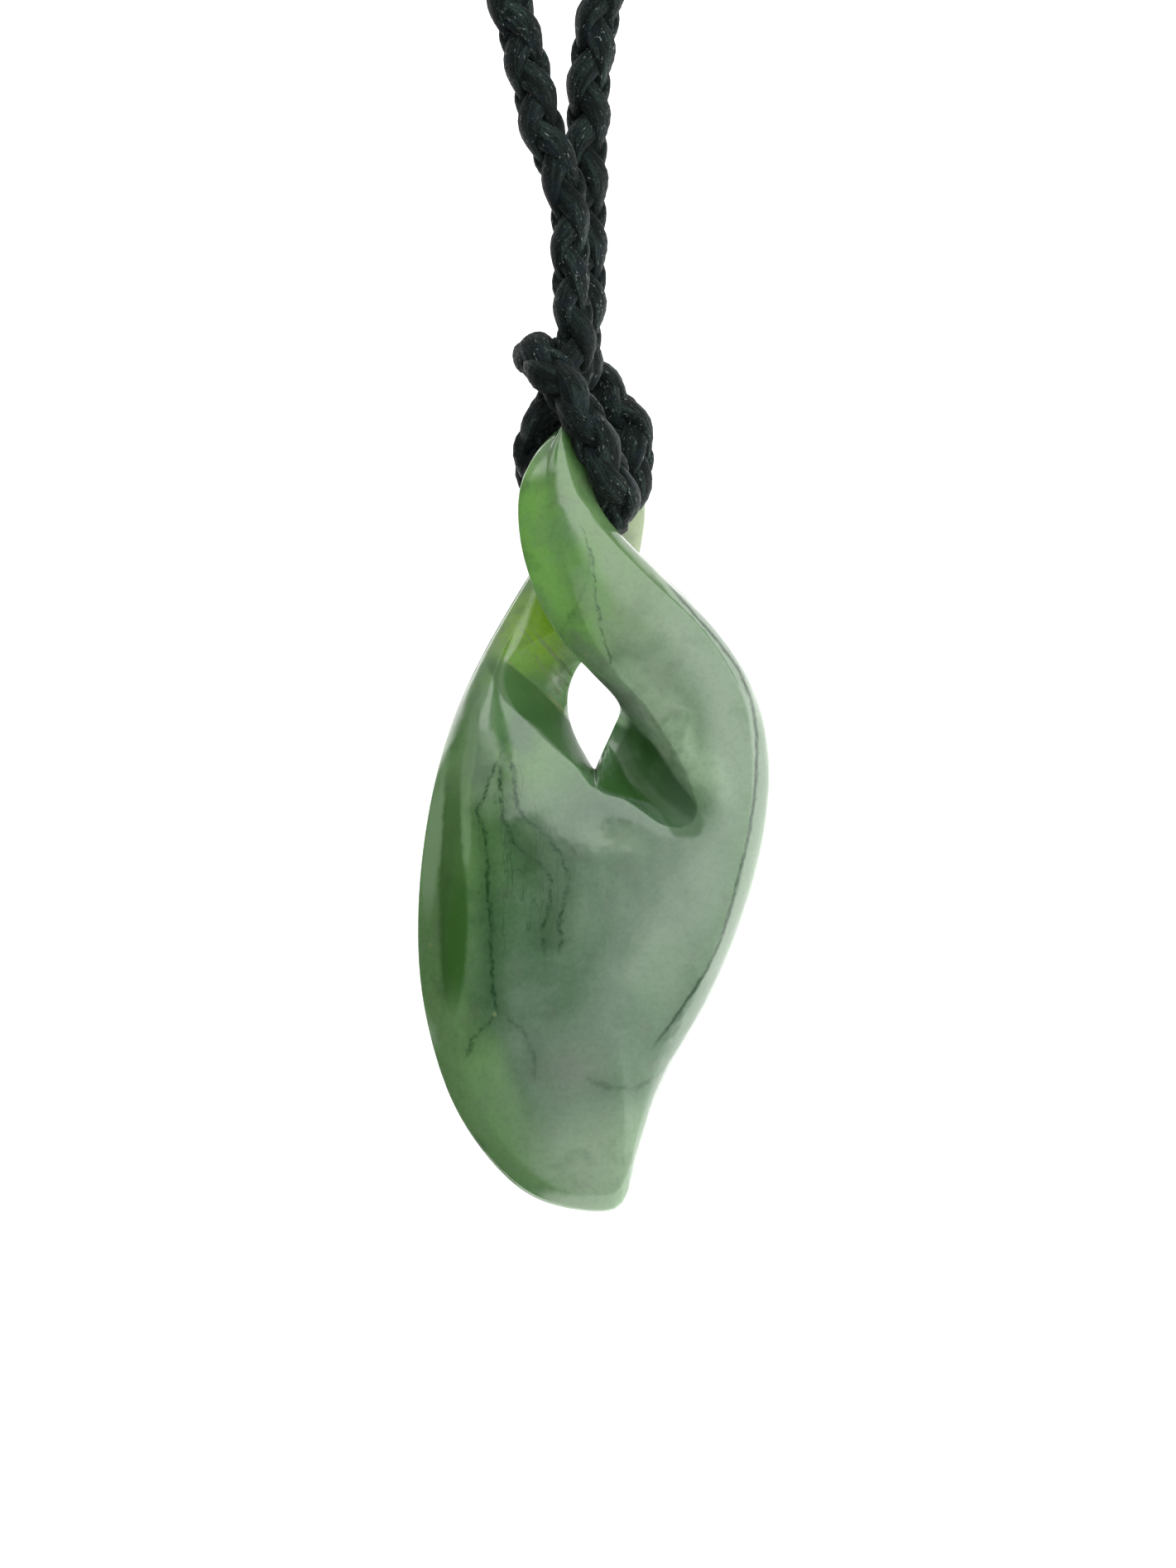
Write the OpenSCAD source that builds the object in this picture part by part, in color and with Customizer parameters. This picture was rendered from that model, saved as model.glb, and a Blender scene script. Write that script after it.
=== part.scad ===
// A single-twist greenstone pendant on a black braided neck cord.
// The stone is a closed ring with one half twist: a broad body below, a front arm that rises from its
// right side, a short bar over the top, and a back arm that comes down to its left side.
// Front is -Y, up is +Z. The origin is where the loop hangs, under its bound join at the nape.

/* [Stone] */
// Height of the carved stone
stone_height = 50; // [40:1:60]
// Depth of the stone over both arms, as a share of the carved depth
depth_share = 1; // [0.9:0.05:1.1]

/* [Cord] */
// Diameter of the braid where it hangs free
cord_diameter = 3; // [2.6:0.1:3]
// Diameter of the braid where the hitch pulls it tight
tight_diameter = 2.4; // [2.2:0.1:2.5]

/* [Nape whipping] */
// Length of the bound join at the nape
whipping_length = 14; // [10:1:16]
// Outer diameter of the bound join
whipping_diameter = 4.6; // [4.2:0.1:5.4]

/* [Hidden] */

// Gap between the braid and the bound join
bore_gap = 0.15;
// Height of the loop's top over the stone's lowest point, measured to the middle of the cord
loop_top = 350;
nape_drop = loop_top - whipping_diameter / 2;
// The tables below are drawn for a stone of this height
drawn_height = 50;
stone_scale = stone_height / drawn_height;

// The stone's sections, one row each, from the bottom of the body up the right side, over the top bar
// and down the left side. Edge p is the section's hole side up to the bar and its outer side after it.
// Columns: p_x, p_y, p_z, q_x, q_y, q_z, lean (degrees that face A has turned from the front)
EDGES = [
    [ 0.95,  0.0, 28.4,  0.30,  0.0,  0.0,   0],
    [ 1.10,  0.0, 28.7,  2.75,  0.0,  0.5,   0],
    [ 1.25,  0.0, 29.0,  3.90,  0.0,  4.2,   0],
    [ 1.45,  0.0, 29.4,  5.40,  0.0,  8.5,   0],
    [ 1.75,  0.0, 29.9,  8.50,  0.0, 13.9,   0],
    [ 2.15,  0.0, 30.6, 11.00,  0.0, 20.4,   0],
    [ 2.50, -0.2, 31.4, 12.10, -0.4, 26.8,   0],
    [ 2.30, -0.8, 32.3, 11.40, -1.2, 32.2,   0],
    [ 0.60, -2.0, 34.1,  8.70, -2.0, 36.7,   0],
    [-1.20, -3.4, 36.1,  5.10, -3.0, 40.2,   0],
    [-2.70, -4.4, 38.8,  2.60, -3.9, 42.6,   5],
    [-3.70, -4.7, 42.2,  1.20, -4.2, 44.6,  14],
    [-3.70, -4.4, 45.6,  0.80, -4.0, 46.6,  32],
    [-2.35, -3.4, 48.0,  0.80, -3.1, 48.0,  62],
    [-1.00,  0.0, 47.8,  1.70,  0.0, 47.8,  90],
    [-0.10,  3.1, 48.0,  2.95,  3.4, 47.9, 118],
    [-0.10,  4.0, 46.6,  4.20,  4.4, 45.2, 148],
    [-0.60,  4.2, 44.6,  4.00,  4.7, 42.2, 166],
    [-2.40,  3.9, 41.6,  3.20,  4.4, 38.9, 175],
    [-4.40,  3.0, 38.3,  1.90,  3.4, 36.4, 180],
    [-6.40,  2.0, 34.7,  0.20,  2.2, 34.8, 180],
    [-8.10,  1.2, 30.8, -0.60,  1.2, 33.2, 180],
    [-9.40,  0.4, 26.0, -0.70,  0.6, 31.8, 180],
    [-10.15, 0.0, 20.0, -0.45,  0.2, 30.6, 180],
    [-10.00, 0.0, 14.0,  0.00,  0.0, 29.7, 180],
    [-8.60,  0.0,  8.3,  0.35,  0.0, 29.2, 180],
    [-6.40,  0.0,  4.2,  0.60,  0.0, 28.8, 180],
    [-3.30,  0.0,  1.1,  0.80,  0.0, 28.5, 180],
];

// The two faces of each section from the bottom to the bar. The left side repeats them, turned about.
// Columns for face A, then the same for face B: in_w and in_h, the width and height of the bevel on the
// hole's side, bulge, the face's rise between its creases, out_h and out_w, the outer bevel
FACES = [
    [1.4, 3.52, 1.50, 1.2, 1.2,   1.4, 3.52, 1.5, 1.2, 1.2],
    [1.7, 3.55, 1.48, 1.2, 1.2,   1.3, 3.45, 1.5, 1.2, 1.4],
    [2.1, 3.57, 1.40, 1.5, 1.2,   1.2, 3.35, 1.5, 1.4, 1.9],
    [2.7, 3.59, 1.25, 2.0, 1.3,   1.1, 3.22, 1.5, 1.6, 2.4],
    [3.9, 3.65, 0.80, 2.8, 1.4,   1.2, 3.10, 1.3, 2.0, 2.9],
    [7.6, 3.75, 0.20, 3.1, 1.4,   1.6, 3.00, 1.0, 2.3, 3.2],
    [3.2, 3.50, 0.60, 3.1, 1.4,   2.3, 2.90, 0.6, 2.4, 3.0],
    [1.5, 3.00, 0.60, 2.9, 1.1,   3.8, 2.60, 0.3, 2.2, 1.8],
    [1.3, 2.20, 0.60, 2.6, 0.9,   4.6, 1.90, 0.1, 1.8, 1.2],
    [1.7, 1.80, 0.55, 2.1, 0.8,   2.6, 1.60, 0.2, 1.6, 1.1],
    [2.3, 1.60, 0.45, 1.6, 0.8,   1.2, 1.40, 0.3, 1.4, 1.0],
    [2.3, 1.50, 0.40, 1.3, 0.9,   1.0, 1.30, 0.4, 1.3, 1.0],
    [1.7, 1.35, 0.50, 1.2, 1.1,   1.0, 1.30, 0.5, 1.3, 1.0],
    [1.1, 1.30, 0.60, 1.3, 1.1,   0.9, 1.30, 0.4, 1.3, 0.9],
    [0.9, 1.30, 0.30, 1.3, 0.9,   0.9, 1.30, 0.3, 1.3, 0.9],
];

// Rings of the stone's mesh between two rows of the table
rings_per_row = 4;
// Where the mesh's points lie across a bevel and across a face
BEVEL_STEPS = [0.12, 0.36, 0.7];
FACE_STEPS = [0, 0.04, 0.12, 0.25, 0.38, 0.5, 0.62, 0.75, 0.88, 0.96, 1];
// How round a narrow bevel is at the stone's edge; each bevel ends in a clear crease
edge_rounding = 0.45;
// A bevel wider than this is hollow, and more so for each millimetre over it
flat_width = 2.5;
hollow_gain = 0.25;
most_hollow = 1.7;

// The hitch, followed as the cord runs: down the left, through the eye, up in front of the bar, round
// behind the two runs, down the back leg, through the eye again and up the left side
// Columns: x, y, z
HITCH_ROUTE = [
    [-0.55, -1.50, 60.0],
    [-0.55, -1.50, 59.0],
    [-0.55, -1.50, 58.0],
    [-0.25, -1.45, 55.8],
    [-0.25, -1.40, 53.8],
    [-0.75, -1.35, 52.1],
    [-1.80, -1.30, 50.5],
    [-2.60, -1.25, 48.8],
    [-2.65, -1.25, 47.0],
    [-1.90, -1.30, 45.3],
    [-0.40, -1.30, 44.5],
    [ 1.00, -1.40, 44.2],
    [ 2.10, -2.00, 44.0],
    [ 2.75, -3.20, 44.4],
    [ 2.55, -4.45, 45.6],
    [ 1.95, -5.05, 47.1],
    [ 1.00, -5.10, 48.9],
    [-0.25, -4.70, 50.85],
    [-1.55, -3.90, 52.5],
    [-2.50, -2.70, 53.6],
    [-2.75, -1.20, 54.0],
    [-2.65,  0.60, 54.2],
    [-2.15,  2.60, 54.2],
    [-1.00,  3.80, 53.8],
    [ 0.30,  3.95, 53.2],
    [ 1.30,  3.60, 52.4],
    [ 2.10,  3.00, 51.3],
    [ 3.05,  2.10, 49.9],
    [ 3.50,  1.50, 48.2],
    [ 3.25,  1.50, 46.5],
    [ 2.75,  1.40, 45.1],
    [ 1.60,  1.40, 44.4],
    [ 0.00,  1.30, 44.3],
    [-1.70,  1.30, 45.1],
    [-2.60,  1.30, 46.8],
    [-2.50,  1.30, 48.8],
    [-1.70,  1.30, 50.6],
    [-0.60,  1.35, 52.0],
    [ 0.05,  1.40, 53.6],
    [ 0.10,  1.40, 55.8],
    [ 0.35,  1.50, 58.0],
    [ 0.35,  1.50, 59.0],
    [ 0.35,  1.50, 60.0],
];

// The two runs from the hitch to the nape
// Columns: x, y, z
LEFT_ROUTE = [
    [-0.55, -1.5, 60],
    [-0.55, -1.5, 61],
    [-0.55, -1.5, 62],
    [-1.00, -1.4, 65],
    [-2.35, -0.8, 68.5],
    [-4.40,  0,   76.5],
    [-12,    0,  101],
    [-24,    0,  140],
    [-37,    0,  182],
    [-49,    0,  222],
    [-57,    0,  255],
    [-59,    0,  283],
    [-53,    0,  309],
    [-40,    0,  330],
    [-24,    0,  344],
    [-13,    0,  349],
    [-8,     0,  350],
    [-4,     0,  350],
    [0,      0,  350],
];
RIGHT_ROUTE = [
    [0.35,  1.5, 60],
    [0.35,  1.5, 61],
    [0.35,  1.5, 62],
    [0.40,  1.4, 65],
    [0.50,  1.1, 68.5],
    [1.40,  0.6, 76.5],
    [7,     0,  101],
    [20,    0,  140],
    [35,    0,  182],
    [48,    0,  222],
    [57,    0,  255],
    [59,    0,  283],
    [53,    0,  309],
    [40,    0,  330],
    [24,    0,  344],
    [13,    0,  349],
    [8,     0,  350],
    [4,     0,  350],
    [0,     0,  350],
];

module greenstone_twist() {
    color([0.42, 0.55, 0.44])
        hung() scale(stone_scale) polyhedron(points = stone_points(), faces = stone_faces());
}

module hitch() {
    color([0.07, 0.08, 0.08]) hung() tube(smooth_route(HITCH_ROUTE, 2), hitch_radii(), 10);
}

module neck_cord_left() {
    color([0.09, 0.09, 0.1]) hung() neck_run(LEFT_ROUTE);
}

module neck_cord_right() {
    color([0.09, 0.09, 0.1]) hung() neck_run(RIGHT_ROUTE);
}

module nape_whipping() {
    color([0.05, 0.05, 0.06]) hung()
        translate([0, 0, loop_top]) rotate([0, 90, 0]) difference() {
            cylinder(d = whipping_diameter, h = whipping_length, center = true, $fn = 48);
            cylinder(d = cord_diameter + 2 * bore_gap, h = whipping_length + 1, center = true, $fn = 48);
        }
}

// Everything is drawn over the stone's lowest point and hung from the origin
module hung() {
    translate([0, 0, -nape_drop]) children();
}

module neck_run(route) {
    path = smooth_route(route, 3);
    tube(path, [for (p = path) cord_diameter / 2], 8);
}

// A closed tube along a path, each ring square to the way that the path goes
module tube(path, radii, sides) {
    count = len(path);
    frames = path_frames(path);
    points = [
        for (i = [0 : count - 1], k = [0 : sides - 1])
            path[i] + radii[i] * (cos(360 * k / sides) * frames[i][0] + sin(360 * k / sides) * frames[i][1])
    ];
    walls = [
        for (i = [0 : count - 2], k = [0 : sides - 1])
            let (a = i * sides + k, b = i * sides + (k + 1) % sides)
            each [[a, b + sides, b], [a, a + sides, b + sides]]
    ];
    caps = [
        [for (k = [0 : sides - 1]) k],
        [for (k = [sides - 1 : -1 : 0]) (count - 1) * sides + k],
    ];
    polyhedron(points = points, faces = concat(walls, caps));
}

function unit(v) = v / norm(v);

// A point of the smooth curve through four neighbours, between the second and the third
function between(a, b, c, d, t) =
    (2 * b + (c - a) * t + (2 * a - 5 * b + 4 * c - d) * t * t + (3 * b - a - 3 * c + d) * t * t * t) / 2;

// The route with extra points on a smooth curve, so many steps to each span
function smooth_route(route, steps) =
    let (last = len(route) - 1)
    concat(
        [
            for (i = [0 : last - 1], s = [0 : steps - 1])
                between(route[max(i - 1, 0)], route[i], route[i + 1], route[min(i + 2, last)], s / steps)
        ],
        [route[last]]
    );

// Two directions across the path at each point, carried along it without turning
function path_frames(path) =
    let (
        last = len(path) - 1,
        ways = [for (i = [0 : last]) unit(path[min(i + 1, last)] - path[max(i - 1, 0)])]
    )
    [
        for (i = 0, side = unit(cross([0, 1, 0], ways[0])); i <= last;
            i = i + 1, side = i <= last ? unit(side - (side * ways[i]) * ways[i]) : side)
            [side, cross(ways[i], side)]
    ];

// The hitch is as thick as the free braid where it meets the two runs, and tight below
function hitch_radii() =
    let (path = smooth_route(HITCH_ROUTE, 2), top = path[0].z, span = 5)
    [
        for (p = path)
            let (free = max(0, 1 - (top - p.z) / span))
            (tight_diameter + (cord_diameter - tight_diameter) * free) / 2
    ];

// One section's row: p, q, lean, face A and face B, each face read from p to q
function stone_row(i) =
    let (rows = len(EDGES), half = rows / 2)
    i < 0 ? turned_over(stone_row(i + rows), -180)
    : i >= rows ? turned_over(stone_row(i - rows), 180)
    : let (
        e = EDGES[i],
        f = FACES[i <= half ? i : rows - i],
        face_a = [for (k = [0 : 4]) f[k]],
        face_b = [for (k = [5 : 9]) f[k]]
    )
    [
        [e[0], e[1], e[2]], [e[3], e[4], e[5]], [e[6]],
        i <= half ? face_a : reversed(face_a),
        i <= half ? face_b : reversed(face_b)
    ];

// After one time round the ring, the band has made half a turn: its edges and its faces change places
function turned_over(row, turn) = [row[1], row[0], [row[2][0] + turn], reversed(row[4]), reversed(row[3])];

function reversed(list) = [for (k = [len(list) - 1 : -1 : 0]) list[k]];

// The row at any place u along the ring, where whole numbers are the table's rows
function row_at(u) =
    let (i = floor(u), t = u - i, a = stone_row(i - 1), b = stone_row(i), c = stone_row(i + 1), d = stone_row(i + 2))
    [for (k = [0 : 4]) between(a[k], b[k], c[k], d[k], t)];

// How high a bevel of this width stands at a share of it
function bevel_height(share, width) =
    let (hollow = max(0, width - flat_width) * hollow_gain)
    pow(share, min(most_hollow, 1 - edge_rounding / max(width, 1) + hollow));

// One face of a section as places across it and heights over it, from p to the crease before q
function face_line(face, width) =
    let (rest = width - face[0] - face[4])
    concat(
        [[0, 0]],
        [for (s = BEVEL_STEPS) [s * face[0], face[1] * bevel_height(s, face[0])]],
        [
            for (s = FACE_STEPS)
                [face[0] + s * rest, face[1] + (face[3] - face[1]) * s + 4 * face[2] * s * (1 - s)]
        ],
        [for (s = reversed(BEVEL_STEPS)) [width - s * face[4], face[3] * bevel_height(s, face[4])]]
    );

function ring_points(u) =
    let (
        row = row_at(u),
        width = norm(row[1] - row[0]),
        across = (row[1] - row[0]) / width,
        lean = row[2][0],
        out = [0, -cos(lean) * depth_share, sin(lean)]
    )
    concat(
        [for (w = face_line(row[3], width)) row[0] + w[0] * across + w[1] * out],
        [for (w = face_line(reversed(row[4]), width)) row[1] - w[0] * across - w[1] * out]
    );

function stone_rings() = len(EDGES) * rings_per_row;
function ring_size() = len(ring_points(0));
function stone_points() = [for (i = [0 : stone_rings() - 1]) each ring_points(i / rings_per_row)];

// The last ring joins the first one half a turn on
function stone_faces() =
    let (rings = stone_rings(), size = ring_size())
    [
        for (i = [0 : rings - 1], k = [0 : size - 1])
            let (
                next = (i + 1) % rings,
                shift = next == 0 ? size / 2 : 0,
                a = i * size + k,
                b = i * size + (k + 1) % size,
                c = next * size + (k + 1 + shift) % size,
                d = next * size + (k + shift) % size
            )
            each [[a, c, b], [a, d, c]]
    ];

greenstone_twist();
hitch();
neck_cord_left();
neck_cord_right();
nape_whipping();
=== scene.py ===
"""A greenstone twist pendant hung on a four-strand braided neck cord.

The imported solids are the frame. Everything is in metres with Z up and the viewer on the -Y side.
The origin is under the middle of the bound join at the nape, where the loop hangs.
"""

import math

import bmesh
import bpy
import numpy
from bpy.props import FloatProperty, FloatVectorProperty, IntProperty, PointerProperty
from mathutils import Matrix, Vector


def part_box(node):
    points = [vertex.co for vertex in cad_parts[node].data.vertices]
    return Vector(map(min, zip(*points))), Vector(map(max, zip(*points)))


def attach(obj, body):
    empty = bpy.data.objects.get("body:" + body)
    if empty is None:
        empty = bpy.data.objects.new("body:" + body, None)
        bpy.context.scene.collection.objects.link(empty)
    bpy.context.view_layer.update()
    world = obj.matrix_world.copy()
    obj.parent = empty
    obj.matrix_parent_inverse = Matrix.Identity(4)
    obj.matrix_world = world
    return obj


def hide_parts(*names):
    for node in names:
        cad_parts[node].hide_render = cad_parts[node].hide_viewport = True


bl_info = {
    "name": "Greenstone twist pendant",
    "version": (1, 0, 0),
    "blender": (4, 5, 0),
    "location": "3D View > Sidebar > Pendant",
    "description": "A polished greenstone twist on a braided and bound neck cord",
    "category": "Add Mesh",
}

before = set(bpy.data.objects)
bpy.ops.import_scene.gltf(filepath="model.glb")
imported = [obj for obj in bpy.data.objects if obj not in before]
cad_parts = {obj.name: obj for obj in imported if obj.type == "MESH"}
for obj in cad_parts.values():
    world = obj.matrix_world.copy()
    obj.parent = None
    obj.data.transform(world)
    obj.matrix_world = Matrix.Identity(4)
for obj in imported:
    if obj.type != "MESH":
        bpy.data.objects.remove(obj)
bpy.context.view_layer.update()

MM = 0.001
STONE_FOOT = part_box("greenstone_twist")[0].z
WHIPPING_LOW, WHIPPING_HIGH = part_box("nape_whipping")

# The cord's route, in millimetres over the lowest point of the stone: across, towards the back, up
HITCH_ROUTE = [
    (-0.55, -1.5, 60), (-0.55, -1.5, 59), (-0.55, -1.5, 58), (-0.25, -1.45, 55.8),
    (-0.25, -1.4, 53.8), (-0.75, -1.35, 52.1), (-1.8, -1.3, 50.5), (-2.6, -1.25, 48.8),
    (-2.65, -1.25, 47), (-1.9, -1.3, 45.3), (-0.4, -1.3, 44.5), (1, -1.4, 44.2),
    (1.95, -2, 44), (2.45, -3.2, 44.4), (2.2, -4.45, 45.6), (1.6, -5.05, 47.1),
    (0.75, -5.1, 48.9), (-0.35, -4.7, 50.85), (-1.55, -3.9, 52.5), (-2.5, -2.7, 53.6),
    (-2.75, -1.2, 54), (-2.65, 0.6, 54.2), (-2.15, 2.6, 54.2), (-1, 3.8, 53.8),
    (0.3, 3.95, 53.2), (1.3, 3.6, 52.4), (2.1, 3, 51.3), (3.05, 2.1, 49.9),
    (3.5, 1.5, 48.2), (3.25, 1.5, 46.5), (2.75, 1.4, 45.1), (1.6, 1.4, 44.4),
    (0, 1.3, 44.3), (-1.7, 1.3, 45.1), (-2.6, 1.3, 46.8), (-2.5, 1.3, 48.8),
    (-1.7, 1.3, 50.6), (-0.6, 1.35, 52), (0.05, 1.4, 53.6), (0.1, 1.4, 55.8),
    (0.35, 1.5, 58), (0.35, 1.5, 59), (0.35, 1.5, 60),
]
# The top of the loop on the right, and mirrored on the left
LOOP_TOP = [
    (57, 0, 255), (59, 0, 283), (53, 0, 309), (40, 0, 330), (24, 0, 344), (13, 0, 349), (8, 0, 350),
    (4, 0, 350), (0, 0, 350),
]
LEFT_ROUTE = [
    (-0.55, -1.5, 60), (-0.55, -1.5, 61), (-0.55, -1.5, 62), (-1, -1.4, 65), (-2.35, -0.8, 68.5),
    (-4.4, 0, 76.5), (-12, 0, 101), (-24, 0, 140), (-37, 0, 182), (-49, 0, 222),
] + [(-x, y, z) for x, y, z in LOOP_TOP]
RIGHT_ROUTE = [
    (0.35, 1.5, 60), (0.35, 1.5, 61), (0.35, 1.5, 62), (0.4, 1.4, 65), (0.5, 1.1, 68.5),
    (1.4, 0.6, 76.5), (7, 0, 101), (20, 0, 140), (35, 0, 182), (48, 0, 222),
] + LOOP_TOP

TOWARDS_VIEWER = Vector((0, -1, 0))


# Small helpers for placing things

def hung(x, y, z):
    """A point given in millimetres over the stone's foot, as a place in the frame."""
    return Vector((x * MM, y * MM, z * MM + STONE_FOOT))


def over_foot(point):
    """A place in the frame, in millimetres over the stone's foot."""
    x, y, z = point / MM
    return x, y, z - STONE_FOOT / MM


# What the camera looks at, and the middle of the light tent
PICTURE_MIDDLE = hung(0.55, 0, 27.04)
STONE_MIDDLE = hung(2, 0, 20)


def add_piece(name, mesh, material, slot_name, *nodes):
    """Links a finished mesh as a piece that rides on the root body and stands for these nodes."""
    piece = bpy.data.objects.new(name, mesh)
    bpy.context.scene.collection.objects.link(piece)
    mesh.materials.append(material)
    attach(piece, "root")
    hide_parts(*nodes)


def finished_mesh(bm, name):
    """Turns a bmesh into a mesh with smooth faces and frees it."""
    for face in bm.faces:
        face.smooth = True
    mesh = bpy.data.meshes.new(name)
    bm.to_mesh(mesh)
    bm.free()
    return mesh


def step_between(value, start, end):
    """Goes smoothly from 0 at the start to 1 at the end."""
    share = min(1.0, max(0.0, (value - start) / (end - start)))
    return share * share * (3 - 2 * share)


# Materials

class Recipe:
    """A material's nodes, added one step at a time."""

    def __init__(self, name):
        self.material = bpy.data.materials.new(name)
        self.material.use_nodes = True
        self.tree = self.material.node_tree
        self.shader = self.tree.nodes["Principled BSDF"]

    def add(self, kind, settings=None, **inputs):
        """Adds a node, sets its own settings, and links or sets its inputs by name."""
        node = self.tree.nodes.new(kind)
        for key, value in (settings or {}).items():
            setattr(node, key, value)
        for key, value in inputs.items():
            self.feed(node.inputs[key], value)
        return node

    def feed(self, socket, value):
        """Links a socket to the value if that is a socket too, and sets it otherwise."""
        if isinstance(value, bpy.types.NodeSocket):
            self.tree.links.new(value, socket)
        elif value is not None:
            socket.default_value = value

    def object_place(self):
        """Places in the piece's own frame, in metres."""
        return self.add("ShaderNodeTexCoord").outputs["Object"]

    def math(self, operation, a, b=None, c=None):
        node = self.add("ShaderNodeMath", {"operation": operation})
        for socket, value in zip(node.inputs, (a, b, c)):
            self.feed(socket, value)
        return node.outputs[0]

    def times(self, value, *others):
        """The product of several values."""
        for other in others:
            value = self.math("MULTIPLY", value, other)
        return value

    def place(self, vector, location=(0, 0, 0), turn=(0, 0, 0), scale=(1, 1, 1), kind="POINT"):
        node = self.add(
            "ShaderNodeMapping", {"vector_type": kind},
            Vector=vector, Location=location, Rotation=turn, Scale=scale,
        )
        return node.outputs[0]

    def noise(self, vector, scale, detail, roughness, output=0):
        """Noise from 0 to 1, or as a colour if that is the output asked for."""
        node = self.add(
            "ShaderNodeTexNoise", Vector=vector, Scale=scale, Detail=detail, Roughness=roughness,
        )
        return node.outputs[output]

    def fade(self, value, start, end, low=0.0, high=1.0):
        """Eases from low to high while value goes from start to end."""
        node = self.add("ShaderNodeMapRange", {"interpolation_type": "SMOOTHSTEP"}, Value=value)
        for socket, number in zip(node.inputs[1:5], (start, end, low, high)):
            socket.default_value = number
        return node.outputs[0]

    def mix(self, share, first, second):
        """Mixes two colours, each a socket or red, green and blue."""
        node = self.add("ShaderNodeMix", {"data_type": "RGBA"})
        self.feed(node.inputs[0], share)
        for socket, colour in ((node.inputs[6], first), (node.inputs[7], second)):
            self.feed(socket, colour if isinstance(colour, bpy.types.NodeSocket) else (*colour, 1))
        return node.outputs[2]

    def bump(self, height, distance, strength):
        return self.add("ShaderNodeBump", Height=height, Distance=distance, Strength=strength).outputs[0]

    def finish(self, **values):
        """Links or sets the shader's own inputs, with underscores for spaces."""
        for key, value in values.items():
            self.feed(self.shader.inputs[key.replace("_", " ")], value)
        return self.material


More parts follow.
